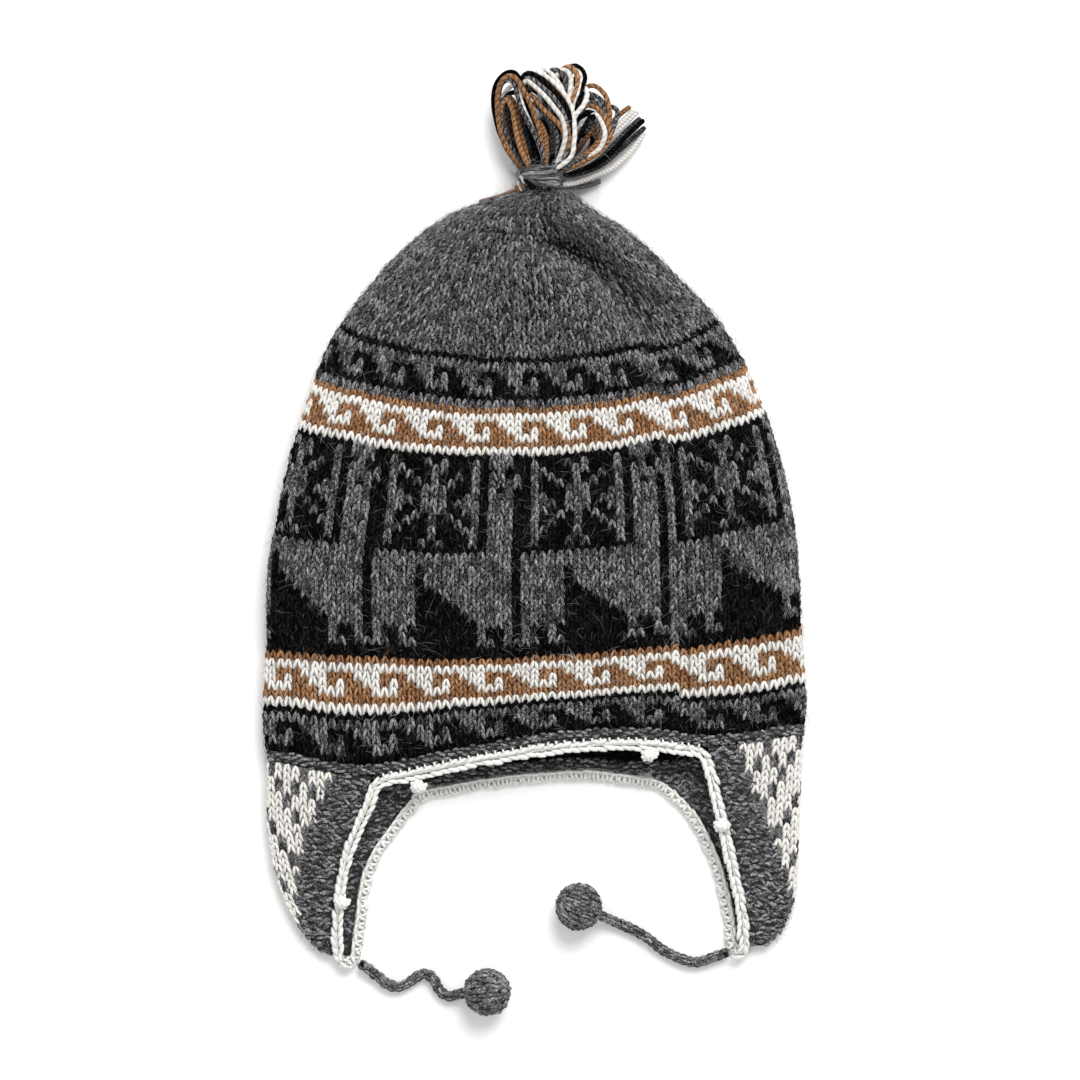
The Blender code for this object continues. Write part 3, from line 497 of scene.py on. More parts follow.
def smooth_value(rows, key, name, at, period=None):
    """The column name of a table at places between its rows, on a smooth curve through the rows."""
    places = np.array([row[key] for row in rows], float)
    values = np.array([row.get(name, 0) for row in rows], float)
    at = np.asarray(at, float)
    if period:
        at = at % period
        places = np.concatenate(([places[-1] - period], places, places[:2] + period))
        values = np.concatenate((values[-1:], values, values[:2]))
    at = np.clip(at, places[0], places[-1])
    i = np.clip(np.searchsorted(places, at, side="right") - 1, 0, len(places) - 2)
    before = np.maximum(np.arange(len(places)) - 1, 0)
    after = np.minimum(np.arange(len(places)) + 1, len(places) - 1)
    slopes = (values[after] - values[before]) / (places[after] - places[before])
    step = places[i + 1] - places[i]
    t = (at - places[i]) / step
    rise = values[i + 1] - values[i]
    steer = t * (1 - t) * ((1 - t) * (slopes[i] * step - rise) - t * (slopes[i + 1] * step - rise))
    return values[i] + t * rise + steer


def along_of(y):
    """How far up the crown, or below 0 down the flaps, a y is."""
    y = np.asarray(y, float)
    return (y - HEM_Y) / np.where(y > HEM_Y, CROWN_LENGTH, FLAP_LENGTH)


def y_of(along):
    """The y of a place given by how far up the crown or down the flaps it is."""
    return HEM_Y + along * (CROWN_LENGTH if along > 0 else FLAP_LENGTH)


def line_distance(x, y, start, end):
    """How far places are from a straight line between two points, and the share of it that they are at."""
    line = end - start
    share = np.clip(((x - start[0]) * line[0] + (y - start[1]) * line[1]) / (line @ line), 0, 1)
    return np.hypot(x - start[0] - share * line[0], y - start[1] - share * line[1]), share


def dent_depth(x, y):
    """How far the frame's own dents press the front layer in."""
    total = 0
    for dent in DENTS:
        start = np.array((dent["x0"] * HAT_WIDTH / 2, y_of(dent["up0"])))
        end = np.array((dent["x1"] * HAT_WIDTH / 2, y_of(dent["up1"])))
        away, _ = line_distance(x, y, start, end)
        total = total + dent["depth"] * LYING_HEIGHT * np.exp(-((away / (dent["reach"] * HAT_WIDTH)) ** 2))
    return total


def fold_depth(x, y):
    """How far the soft folds press the front layer in beyond the frame's own dents."""
    total = 0
    for fold in FOLDS:
        near, depth = np.full(np.shape(x), np.inf), np.zeros(np.shape(x))
        for first, last in zip(fold["route"], fold["route"][1:]):
            away, share = line_distance(x, y, np.array(first[:2]), np.array(last[:2]))
            closer = away < near
            near = np.where(closer, away, near)
            depth = np.where(closer, first[2] + (last[2] - first[2]) * share, depth)
        total = total + depth * np.exp(-((near / fold["reach"]) ** 2))
    return total


class Tube:
    """The outer skin of the flattened knit tube as a fine grid, read between its points."""

    low = HEM_Y - FLAP_LENGTH * 1.08
    high = HEM_Y + CROWN_LENGTH
    steps = 240
    quarter = 64
    samples = 64

    def __init__(self):
        self.ys = np.linspace(self.low, self.high, self.steps)
        rows = [self.ring(y) for y in self.ys]
        self.grid = np.array([r[0] for r in rows])
        self.lengths = np.array([r[1] for r in rows])
        up = np.gradient(self.grid, self.ys, axis=0)
        ahead = (np.roll(self.grid, -1, axis=1) - np.roll(self.grid, 1, axis=1)) * (self.quarter * 4 / 2)
        out = np.cross(up, ahead)
        self.out = out / np.linalg.norm(out, axis=2, keepdims=True)

    def ring(self, y):
        """The section at one y as points from the right fold over the front, and its quarters' lengths."""
        along = along_of(y)
        half = smooth_value(SECTIONS, "along", "half", along) * HAT_WIDTH / 2
        middle = smooth_value(SECTIONS, "along", "shift", along) * HAT_WIDTH / 2
        top = smooth_value(SECTIONS, "along", "height", along) * LYING_HEIGHT
        bottom = max(0, smooth_value(SECTIONS, "along", "lift", along)) * LYING_HEIGHT
        fold = bottom + FOLD_HEIGHT * (top - bottom)
        round_in = min(FOLD_ROUND, FOLD_LIMIT * half)
        i = np.linspace(0, 1, self.samples)
        points = []
        for quarter in range(4):
            side = 1 if quarter in (0, 3) else -1
            if quarter < 2:
                angle = math.pi / 2 * (1 - i)
                level = np.sin(angle) ** (2 / CORNER_POWER)
                x = middle + side * np.abs(np.cos(angle)) ** (2 / CORNER_POWER) * half
                z = fold + (top - fold - (dent_depth(x, y) + fold_depth(x, y)) * level) * level
            else:
                turn = np.maximum(0, 2 * i - 1) * math.pi / 2
                x = middle + side * ((half - round_in) * np.minimum(1, 2 * i) + round_in * np.sin(turn))
                z = fold - (fold - bottom) * np.cos(turn)
            length = np.concatenate(([0], np.cumsum(np.hypot(np.diff(x), np.diff(z)))))
            share = np.arange(self.quarter) / self.quarter
            share = 1 - share if quarter in (0, 2) else share
            goal = share * length[-1]
            points.append((np.interp(goal, length, x), np.interp(goal, length, z), length[-1]))
        x = np.concatenate([p[0] for p in points])
        z = np.concatenate([p[1] for p in points])
        return np.stack((x, np.full_like(x, y), z), axis=1), [p[2] for p in points]

    def read(self, field, y, around):
        """A grid's value between its points, at places up the tube and round it."""
        y, around = np.broadcast_arrays(np.asarray(y, float), np.asarray(around, float))
        a = np.clip((y - self.low) / (self.high - self.low) * (self.steps - 1), 0, self.steps - 1.001)
        b = (around % 1) * self.quarter * 4
        i, j = a.astype(int), b.astype(int) % (self.quarter * 4)
        k = (j + 1) % (self.quarter * 4)
        s, t = (a - i)[..., None], (b - np.floor(b))[..., None]
        below = field[i, j] * (1 - t) + field[i, k] * t
        above = field[i + 1, j] * (1 - t) + field[i + 1, k] * t
        return below * (1 - s) + above * s

    def point(self, y, around, depth=0):
        return self.read(self.grid, y, around) - self.normal(y, around) * depth

    def normal(self, y, around):
        out = self.read(self.out, y, around)
        return out / np.linalg.norm(out, axis=-1, keepdims=True)

    def quarter_length(self, y, quarter):
        return np.interp(y, self.ys, self.lengths[:, quarter])

    def layer(self, x, y, front):
        """The share around the tube at which a layer is at this x, for arrays of x and y."""
        found = []
        for a, b in zip(np.ravel(x), np.ravel(y)):
            row = self.grid[int(round(np.interp(b, self.ys, np.arange(self.steps))))]
            span = slice(0, self.quarter * 2 + 1) if front else slice(self.quarter * 2, self.quarter * 4)
            line = row[span, 0]
            share = np.arange(span.start, span.stop) / (self.quarter * 4)
            if front:
                found.append(np.interp(-a, -line, share))
            else:
                found.append(np.interp(a, line, share))
        return np.array(found)


TUBE = Tube()


def hem_y(around):
    """The y of the hem line at a share around the tube."""
    wave = smooth_value(HEM_LINE, "around", "wave", around, 1) * HEM_WAVE
    hang = smooth_value(HEM_LINE, "around", "hang", around, 1) * BACK_HANG
    return HEM_Y + wave - hang


def row_y(row, around):
    """Where a row of knitting runs at a share around the tube."""
    row, around = np.broadcast_arrays(np.asarray(row, float), np.asarray(around, float) % 1)
    across = np.where(around < 0.5, 1 - 4 * around, 4 * around - 3)
    parts = {n: smooth_value(ROW_LINES, "row", n, row) for n in ("middle", "rise", "tilt")}
    line = parts["middle"] + parts["rise"] * across**2 + parts["tilt"] * across
    foot = ROW_LINES[0]
    base = foot["middle"] + foot["rise"] * across**2 + foot["tilt"] * across
    left = np.clip(1 - row / HEM_FADE, 0, 1)
    jog_from = 0.5 - (SEAM_COLUMN + 1) / COLUMNS
    turned = (jog_from - around) % 1
    fade = np.clip(np.minimum(row / 6, (TOP_ROW - row) / 20), 0, 1)
    line = line + ROW_WANDER * np.sin(around * 61 + row * 0.21) * np.sin(around * 23 - row * 0.13 + 1)
    return line + (hem_y(around) - base) * left**1.5 - ROW_PITCH * (1 - turned) * fade


def finish_piece(piece, material, *replaced, slot=None):
    """Materials, body and replaced nodes of a finished piece."""
    piece.data.materials.clear()
    piece.data.materials.append(material)
    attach(piece, BODY)
    if replaced:
        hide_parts(*replaced)
    return piece


def new_object(name, data):
    """A new object in the scene."""
    made = bpy.data.objects.new(name, data)
    bpy.context.scene.collection.objects.link(made)
    return made


def place_data(name, data):
    """A new object round finished mesh data, shaded smooth."""
    data.shade_smooth()
    return new_object(name, data)


def place_mesh(name, mesh):
    """A new object from a bmesh."""
    data = bpy.data.meshes.new(name)
    mesh.to_mesh(data)
    mesh.free()
    return place_data(name, data)


def unit(v):
    """Vectors of length 1."""
    return v / np.maximum(np.linalg.norm(v, axis=-1, keepdims=True), 1e-12)


def carried_frames(paths, outward):
    """Tangents, sides and outward directions along many paths at once, turned as little as can be."""
    tangent = unit(np.gradient(paths, axis=1))
    out = np.zeros_like(paths)
    current = np.broadcast_to(outward, paths[:, 0].shape)
    for k in range(paths.shape[1]):
        t = tangent[:, k]
        current = unit(current - t * np.sum(current * t, axis=1, keepdims=True))
        out[:, k] = current
    return tangent, np.cross(tangent, out), out


FLOOR_ROOM = 0.0001


def strands(name, paths, radii, sides=6, outward=(0, 0, 1), flat=1.0, pointed=True):
    """Many short yarns as one mesh. paths is (count, places, 3), radii (places) or (count, places).

    A yarn that would dip below the floor is lifted onto it. Each yarn has its own whole number in the
    first value of its UVs, then its length, and the way round in the second value, so that one material
    gives each its own tone and fibres.
    """
    paths = np.array(paths, float)
    count, places = paths.shape[:2]
    outward = np.broadcast_to(np.asarray(outward, float), (count, 3))
    radii = np.broadcast_to(np.asarray(radii, float), (count, places))
    paths[..., 2] += np.maximum(0, FLOOR_ROOM - (paths[..., 2] - radii).min(axis=1, keepdims=True))
    _, side, out = carried_frames(paths, outward)
    inner = slice(1, -1) if pointed else slice(0, places)
    rings = paths[:, inner].shape[1]
    angle = (np.arange(sides) / sides * 2 * math.pi)[None, None, :, None]
    r = radii[:, inner, None, None]
    ring = (
        paths[:, inner, None]
        + side[:, inner, None] * np.cos(angle) * r
        + out[:, inner, None] * np.sin(angle) * r * flat
    )
    verts = np.concatenate((ring.reshape(count, rings * sides, 3), paths[:, (0, -1)]), axis=1)
    per = rings * sides + 2
    along = np.linspace(0.02, 0.98, places)[inner]

    k, j = np.meshgrid(np.arange(rings - 1), np.arange(sides), indexing="ij")
    n = (j + 1) % sides
    corners = (k * sides + j, k * sides + n, (k + 1) * sides + n, (k + 1) * sides + j)
    quads = np.stack(corners, axis=-1).reshape(-1, 4)
    quad_uv = np.stack([
        np.stack((along[a], b / sides), axis=-1) for a, b in ((k, j), (k, j + 1), (k + 1, j + 1), (k + 1, j))
    ], axis=-2).reshape(-1, 4, 2)

    j = np.arange(sides)
    n = (j + 1) % sides
    last = (rings - 1) * sides
    caps = np.concatenate((
        np.stack((n, j, np.full(sides, per - 2)), axis=-1),
        np.stack((last + j, last + n, np.full(sides, per - 1)), axis=-1),
    ))
    cap_uv = np.concatenate([
        np.stack([np.stack((np.full(sides, u), v / sides), axis=-1) for u, v in turn], axis=1)
        for turn in (
            ((along[0], j + 1), (along[0], j), (0.01, j + 0.5)),
            ((along[-1], j), (along[-1], j + 1), (0.99, j + 0.5)),
        )
    ])

    number = np.arange(count)[:, None, None]
    all_quads = (quads[None] + number * per).reshape(-1, 4)
    all_caps = (caps[None] + number * per).reshape(-1, 3)
    uvs = []
    for corner_uv in (quad_uv, cap_uv):
        numbered = np.broadcast_to(corner_uv[None], (count, *corner_uv.shape)).copy()
        numbered[..., 0] += number
        uvs.append(numbered.reshape(-1, 2))
    loops = np.concatenate((all_quads.ravel(), all_caps.ravel()))
    starts = np.concatenate((
        np.arange(len(all_quads)) * 4, len(all_quads) * 4 + np.arange(len(all_caps)) * 3,
    ))
    data = bpy.data.meshes.new(name)
    data.vertices.add(count * per)
    data.vertices.foreach_set("co", verts.ravel())
    data.loops.add(len(loops))
    data.loops.foreach_set("vertex_index", loops.astype(np.int32))
    data.polygons.add(len(starts))
    data.polygons.foreach_set("loop_start", starts.astype(np.int32))
    data.update(calc_edges=True)
    layer = data.uv_layers.new(name="yarn")
    layer.data.foreach_set("uv", np.concatenate(uvs).ravel())
    return place_data(name, data)


def curve_between(a, b, c, d, t):
    """A smooth curve from b to c, steered by the point a before it and the point d after it."""
    return (2 * b + (c - a) * t + (2 * a - 5 * b + 4 * c - d) * t**2 + (3 * b - a - 3 * c + d) * t**3) / 2


def run_lengths(points):
    """The length of a line up to each of its points."""
    return np.concatenate(([0], np.cumsum(np.linalg.norm(np.diff(points, axis=0), axis=1))))


def smooth_path(route, count):
    """Evenly spaced points on a smooth curve through a route's own points."""
    route = np.asarray(route, float)
    ends = np.concatenate(([2 * route[0] - route[1]], route, [2 * route[-1] - route[-2]]))
    t = np.arange(16)[:, None] / 16
    fine = [curve_between(*ends[i - 1 : i + 3], t) for i in range(1, len(ends) - 2)]
    fine = np.concatenate((*fine, route[-1:]))
    length = run_lengths(fine)
    goal = np.linspace(0, length[-1], count)
    return np.stack([np.interp(goal, length, fine[:, i]) for i in range(3)], axis=1)


# Materials

def math_node(tree, kind, a, b=None):
    """The output of a Math node on numbers or sockets."""
    node = tree.nodes.new("ShaderNodeMath")
    node.operation = kind
    for slot, value in zip(node.inputs, (a, b)):
        if value is None:
            continue
        if isinstance(value, (int, float)):
            slot.default_value = value
        else:
            tree.links.new(value, slot)
    return node.outputs[0]


def rgba(socket_list, name):
    """The colour socket of that name among a Mix node's sockets."""
    return next(s for s in socket_list if s.name == name and s.type == "RGBA")


def mix_colours(tree, factor, first, second):
    """The output of a Mix node between two colours."""
    node = tree.nodes.new("ShaderNodeMix")
    node.data_type = "RGBA"
    tree.links.new(factor, node.inputs["Factor"])
    tree.links.new(first, rgba(node.inputs, "A"))
    tree.links.new(second, rgba(node.inputs, "B"))
    return rgba(node.outputs, "Result")


def map_range(tree, value, low, high, new_low=0.0, new_high=1.0):
    """The output of a Map Range node from one range to another."""
    node = tree.nodes.new("ShaderNodeMapRange")
    for label, number in (("From Min", low), ("From Max", high), ("To Min", new_low), ("To Max", new_high)):
        node.inputs[label].default_value = number
    tree.links.new(value, node.inputs["Value"])
    return node.outputs[0]


def noise_node(tree, place, scale, detail):
    """A Noise node that reads a place."""
    noise = tree.nodes.new("ShaderNodeTexNoise")
    noise.inputs["Scale"].default_value = scale
    noise.inputs["Detail"].default_value = detail
    tree.links.new(place, noise.inputs["Vector"])
    return noise


def new_material(name, roughness, gloss):
    """A new material with its node tree and shader."""
    material = bpy.data.materials.new(name)
    material.use_nodes = True
    shader = material.node_tree.nodes["Principled BSDF"]
    shader.inputs["Roughness"].default_value = roughness
    shader.inputs["Specular IOR Level"].default_value = gloss
    return material, material.node_tree, shader


def add_relief(tree, shader, height, strength, distance):
    """A Bump node between a height and the shader."""
    relief = tree.nodes.new("ShaderNodeBump")
    relief.inputs["Strength"].default_value = strength
    relief.inputs["Distance"].default_value = distance
    tree.links.new(height, relief.inputs["Height"])
    tree.links.new(relief.outputs["Normal"], shader.inputs["Normal"])


def fibre_group():
    """Wool: streaks of dark and light fibres along each yarn, with a twist and a tone of its own, and plies
    with painted shade in the grooves between them.
    """
    colour = "NodeSocketColor"
    number = "NodeSocketFloat"
    tree = bpy.data.node_groups.new("wool_fibres", "ShaderNodeTree")
    for label, kind, value in (
        ("Dark", colour, (0.02, 0.02, 0.02, 1)), ("Body", colour, (0.1, 0.1, 0.1, 1)),
        ("Light", colour, (0.3, 0.3, 0.3, 1)), ("Streaks", number, 7.0), ("Length", number, 1.6),
        ("Twist", number, 0.5), ("Tone", number, 0.3), ("Plies", number, 0.0),
    ):
        tree.interface.new_socket(name=label, in_out="INPUT", socket_type=kind).default_value = value
    for label, kind in (("Color", colour), ("Height", number)):
        tree.interface.new_socket(name=label, in_out="OUTPUT", socket_type=kind)
    nodes, links = tree.nodes, tree.links
    given, result = nodes.new("NodeGroupInput").outputs, nodes.new("NodeGroupOutput")

    def work(kind, a, b=None):
        return math_node(tree, kind, a, b)

    uv = nodes.new("ShaderNodeUVMap")
    uv.uv_map = "yarn"
    split = nodes.new("ShaderNodeSeparateXYZ")
    links.new(uv.outputs[0], split.inputs[0])
    whole = work("FLOOR", split.outputs[0])
    along = work("FRACT", split.outputs[0])
    turned = work("ADD", split.outputs[1], work("MULTIPLY", along, given["Twist"]))
    angle = work("MULTIPLY", turned, 2 * math.pi)
    radius = work("MULTIPLY", given["Streaks"], 1 / (2 * math.pi))
    far = work("ADD", work("MULTIPLY", along, given["Length"]), work("MULTIPLY", whole, 3.7))
    place = nodes.new("ShaderNodeCombineXYZ")
    links.new(work("MULTIPLY", work("COSINE", angle), radius), place.inputs[0])
    links.new(work("MULTIPLY", work("SINE", angle), radius), place.inputs[1])
    links.new(far, place.inputs[2])
    noise = noise_node(tree, place.outputs[0], 2.0, 4.0)
    noise.inputs["Roughness"].default_value = 0.78
    tone = nodes.new("ShaderNodeTexWhiteNoise")
    tone.noise_dimensions = "1D"
    links.new(whole, tone.inputs["W"])
    shift = work("MULTIPLY", work("SUBTRACT", tone.outputs["Value"], 0.5), given["Tone"])
    ridge = work("ABSOLUTE", work("SINE", angle))
    groove_shade_mask = work("POWER", work("SUBTRACT", 1.0, ridge), 2.0)
    # Painted shade: the colour darkens in the grooves between the plies.
    dip = work("MULTIPLY", work("MULTIPLY", groove_shade_mask, given["Plies"]), -0.17)
    value = work("ADD", work("ADD", noise.outputs["Fac"], shift), dip)
    rise = work("MULTIPLY", work("POWER", ridge, 0.6), given["Plies"])
    body = mix_colours(tree, map_range(tree, value, 0.37, 0.51), given["Dark"], given["Body"])
    shade = mix_colours(tree, map_range(tree, value, 0.50, 0.62), body, given["Light"])
    links.new(shade, result.inputs["Color"])
    links.new(work("ADD", work("MULTIPLY", noise.outputs["Fac"], 0.8), rise), result.inputs["Height"])
    return tree


def yarn_material(
    name, dark, body, light, streaks=6.0, length=3.4, twist=0.3, tone=0.3, plies=0.0, bump=0.5, sheen=0.25,
    gloss=0.06,
):
    """The material of one yarn, in its three shades."""
    material, tree, shader = new_material(name, 0.92, gloss)
    shader.inputs["Sheen Weight"].default_value = sheen
    shader.inputs["Sheen Roughness"].default_value = 0.5
    group = tree.nodes.new("ShaderNodeGroup")
    group.node_tree = bpy.data.node_groups.get("wool_fibres") or fibre_group()
    for label, value in (("Dark", dark), ("Body", body), ("Light", light)):
        group.inputs[label].default_value = (*value, 1)
    for label, value in (
        ("Streaks", streaks), ("Length", length), ("Twist", twist), ("Tone", tone), ("Plies", plies),
    ):
        group.inputs[label].default_value = value
    tree.links.new(group.outputs["Color"], shader.inputs["Base Color"])
    add_relief(tree, shader, group.outputs["Height"], bump, 0.0006)
    return material


def shaded_core_material(name):
    """Painted shade between the stitches: each stitch's own yarn, darkened, with the tangle of its fibres."""
    material, tree, shader = new_material(name, 1.0, 0.1)
    colour = tree.nodes.new("ShaderNodeAttribute")
    colour.attribute_name = "yarn_tone"
    place = tree.nodes.new("ShaderNodeTexCoord")
    noise = noise_node(tree, place.outputs["Object"], 1400, 3)
    mixed = tree.nodes.new("ShaderNodeVectorMath")
    mixed.operation = "SCALE"
    tree.links.new(colour.outputs["Color"], mixed.inputs[0])
    tree.links.new(map_range(tree, noise.outputs["Fac"], 0.3, 0.7, 0.45, 1.15), mixed.inputs["Scale"])
    tree.links.new(mixed.outputs[0], shader.inputs["Base Color"])
    add_relief(tree, shader, noise.outputs["Fac"], 0.6, 0.0005)
    return material


MATERIALS = {}
# The wall behind the stitches, each yarn darkened there as painted shade in the gaps between stitches, and
# each yarn's dark and light fibres. The add-on holds the body colours.
SHADED_CORE_TONES = {
    "grey": (0.008, 0.008, 0.009), "purl": (0.034, 0.033, 0.035), "black": (0.001, 0.001, 0.0013),
    "brown": (0.075, 0.030, 0.012), "white": (0.42, 0.39, 0.35),
}
SHADES = {
    "grey": ((0.004, 0.004, 0.0045), (0.42, 0.415, 0.43)),
    # purl: the grey yarn painted lighter, partly for the fluffier light fibres of its purl bumps and partly
    # as a painted highlight for the light they catch.
    "purl": ((0.008, 0.008, 0.0085), (0.47, 0.46, 0.47)),
    "black": ((0.0003, 0.0003, 0.0004), (0.024, 0.023, 0.023)),
    "brown": ((0.055, 0.019, 0.006), (0.52, 0.30, 0.155)),
    "white": ((0.54, 0.51, 0.47), (0.84, 0.83, 0.81)),
    # edging: the white yarn painted lighter, a painted highlight against the shade that the edging lies in.
    "edging": ((0.66, 0.64, 0.60), (0.88, 0.87, 0.85)),
}
SHORT_YARN = {
    "grey": dict(tone=0.12, sheen=0.08),
    "purl": dict(tone=0.12, sheen=0.12),
    "black": dict(tone=0.10, sheen=0.0, gloss=0.015),
    "brown": dict(tone=0.10, sheen=0.12),
    "white": dict(tone=0.08, bump=0.35),
    "edging": dict(tone=0.06, bump=0.35),
}
LONG_YARN = dict(streaks=7.0, length=44.0, twist=15.0, plies=1.0, bump=0.7)


def yarn(name, long=False):
    """The material of a yarn, made once, for short stitches or for long strands."""
    key = ("long_" if long else "") + name
    if key not in MATERIALS:
        # core is the painted shade of the wall between the stitches.
        if name == "core":
            MATERIALS[key] = shaded_core_material("core_wool")
        else:
            body = tuple(getattr(bpy.context.scene.chullo_yarns, name))
            dark, light = SHADES[name]
            options = dict(SHORT_YARN[name], **(LONG_YARN if long else {}))
            MATERIALS[key] = yarn_material(key + "_wool", dark, body, light, **options)
    return MATERIALS[key]


# Stitches

def column_around(column, columns=COLUMNS):
    """The share around the tube of a place counted in columns from the left fold over the front."""
    return 0.5 - np.asarray(column, float) / columns


# A stitch's leg: places along it and its thickness there, in full for the front and plainer for the back.
LEG_PLACES = np.array((0.0, 0.16, 0.5, 0.84, 1.0))
LEG_RADII = np.array((0, 0.74, 1.0, 0.74, 0))
SHORT_PLACES = np.array((0.0, 0.26, 0.74, 1.0))
SHORT_RADII = np.array((0, 0.95, 0.95, 0))
LEG_RADIUS = 0.00084
LEG_TOP = 0.80
LEG_SPREAD = (0.055, 0.44)
LEG_DEPTH = 0.0010
LEG_ARCH = 0.0008


def leg_paths(centre, side, up, normal, places, generator):
    """Both legs of many stitches, closed at the top, with their outward directions."""
    loose = generator.normal(0, 1, (len(centre), 8))
    paths = []
    for hand in (-1, 1):
        lean = loose[:, 1:2] if hand < 0 else loose[:, 4:5]
        leg = []
        for t in places:
            a = hand * (LEG_SPREAD[0] + (LEG_SPREAD[1] - LEG_SPREAD[0]) * t)
            a = a + 0.045 * loose[:, 0:1] + 0.06 * lean * (t - 0.5)
            b = LEG_TOP * (1 - 2 * t) + 0.06 * loose[:, 2:3] + 0.04 * loose[:, 5:6] * hand
            d = LEG_DEPTH + LEG_ARCH * abs(2 * t - 1) ** 2.2 + 0.00014 * loose[:, 3:4]
            leg.append(centre + side * a + up * b - normal * d)
        paths.append(np.stack(leg, axis=1))
    return np.concatenate(paths), np.concatenate((normal, normal))


def knit_legs(row, column, columns, places, generator):
    """The legs of knit stitches of the crown, in rows of one count of columns."""
    row, column = np.asarray(row, float), np.asarray(column, float)
    around = column_around(column + 0.5, columns)
    y = row_y(row + 0.5, around)
    half = 0.5 / columns
    up = TUBE.point(row_y(row + 1, around), around) - TUBE.point(row_y(row, around), around)
    side = TUBE.point(y, around - half) - TUBE.point(y, around + half)
    return leg_paths(TUBE.point(y, around), side, up, TUBE.normal(y, around), places, generator)


# How far each yarn of the crown stands out, and its thickness.
YARN_HEIGHTS = {"plain": 0.0, "grey": 0.00042, "black": -0.00010, "brown": 0.00012, "white": 0.00042}
YARN_SIZES = {"plain": 1.0, "grey": 1.07, "black": 0.96, "brown": 1.0, "white": 1.04}


def knit_piece(name, stitches, columns_of, generator, front, colour):
    """One piece from a list of (row, column) stitches. Those of the back have fewer sides."""
    rows = np.array([s[0] for s in stitches])
    columns = np.array([s[1] for s in stitches])
    counts = np.array([columns_of(r) for r in rows])
    places, radii, sides = (LEG_PLACES, LEG_RADII, 5) if front else (SHORT_PLACES, SHORT_RADII, 4)
    paths, normals = [], []
    for n in np.unique(counts):
        chosen = counts == n
        p, o = knit_legs(rows[chosen], columns[chosen], int(n), places, generator)
        paths.append(p)
        normals.append(o)
    paths, normals = np.concatenate(paths), np.concatenate(normals)
    paths += normals[:, None] * YARN_HEIGHTS[colour]
    size = LEG_RADIUS * YARN_SIZES[colour] * (1 + 0.09 * generator.normal(0, 1, (len(paths), 1)))
    return strands(name, paths, radii * size, sides, normals, 1.02)


def columns_in(row):
    """How many stitches a row has: all of them up to the plain crown, then fewer in steps."""
    if row < PLAIN_FROM:
        return COLUMNS
    step = PLAIN_FROM + DECREASE_EVERY * ((row - PLAIN_FROM) // DECREASE_EVERY)
    arounds = np.linspace(0, 1, 97)
    ring = TUBE.point(row_y(step + 1.0, arounds), arounds)
    length = np.linalg.norm(np.diff(ring, axis=0), axis=1).sum()
    return int(max(FEWEST_COLUMNS, min(COLUMNS, 6 * round(length / STITCH_WIDTH / 6))))


def tone_faces(mesh, tones):
    """Writes each face's tone, darkened as painted shade, as a colour attribute on its corners."""
    layer = mesh.color_attributes.new(name="yarn_tone", type="FLOAT_COLOR", domain="CORNER")
    values = np.ones((len(mesh.loops), 4), np.float32)
    starts = np.zeros(len(mesh.polygons), np.int32)
    totals = np.zeros(len(mesh.polygons), np.int32)
    mesh.polygons.foreach_get("loop_start", starts)
    mesh.polygons.foreach_get("loop_total", totals)
    for start, total, tone in zip(starts, totals, tones):
        values[start : start + total, :3] = tone
    layer.data.foreach_set("color", values.ravel())


def shell(name, rows, closed_round, tones=None, plain=(0.02, 0.02, 0.02)):
    """A wall between an outer and an inner grid of points, closed along its rims, each face darkened as
    painted shade.
    """
    outer, inner = rows
    mesh = bmesh.new()
    grids = [[[mesh.verts.new(p) for p in line] for line in grid] for grid in (outer, inner)]
    high, wide = len(outer), len(outer[0])
    across = wide if closed_round else wide - 1
    listed = []

    def face(corners, turned, i, j):
        mesh.faces.new(corners[::-1] if turned else corners)
        listed.append(plain if tones is None else tones[i][j])

    for g, grid in enumerate(grids):
        for i in range(high - 1):
            for j in range(across):
                k = (j + 1) % wide
                face((grid[i][j], grid[i][k], grid[i + 1][k], grid[i + 1][j]), g > 0, i, j)
    top, under = grids
    for i in (0, high - 1):
        for j in range(across):
            k = (j + 1) % wide
            face((top[i][j], under[i][j], under[i][k], top[i][k]), i > 0, max(i - 1, 0), j)
    if not closed_round:
        for j in (0, wide - 1):
            for i in range(high - 1):
                face((top[i][j], top[i + 1][j], under[i + 1][j], under[i][j]), j > 0, i, max(j - 1, 0))
    mesh.normal_update()
    if mesh.calc_volume(signed=True) < 0:
        bmesh.ops.reverse_faces(mesh, faces=mesh.faces)
    piece = place_mesh(name, mesh)
    tone_faces(piece.data, listed)
    return piece


# The wall's outer and inner sides, below the skin.
CORE_DEPTH = 0.0014
INNER_DEPTH = 0.0026


def crown_core():
    """The wall behind the crown's stitches, its yarns darkened as painted shade between the stitches."""
    columns = np.arange(COLUMNS)
    rows = np.arange(0, TOP_ROW + 1)
    row, column = np.meshgrid(rows, columns, indexing="ij")
    around = column_around(column)
    y = row_y(row, around)
    outer, inner = TUBE.point(y, around, CORE_DEPTH), TUBE.point(y, around, INNER_DEPTH)
    tones = [[SHADED_CORE_TONES[yarn_of(r, c)] for c in columns] for r in rows[:-1]]
    piece = shell("crown_core", (outer, inner), True, tones)
    return finish_piece(piece, yarn("core"), "crown", slot="patterned_knit")


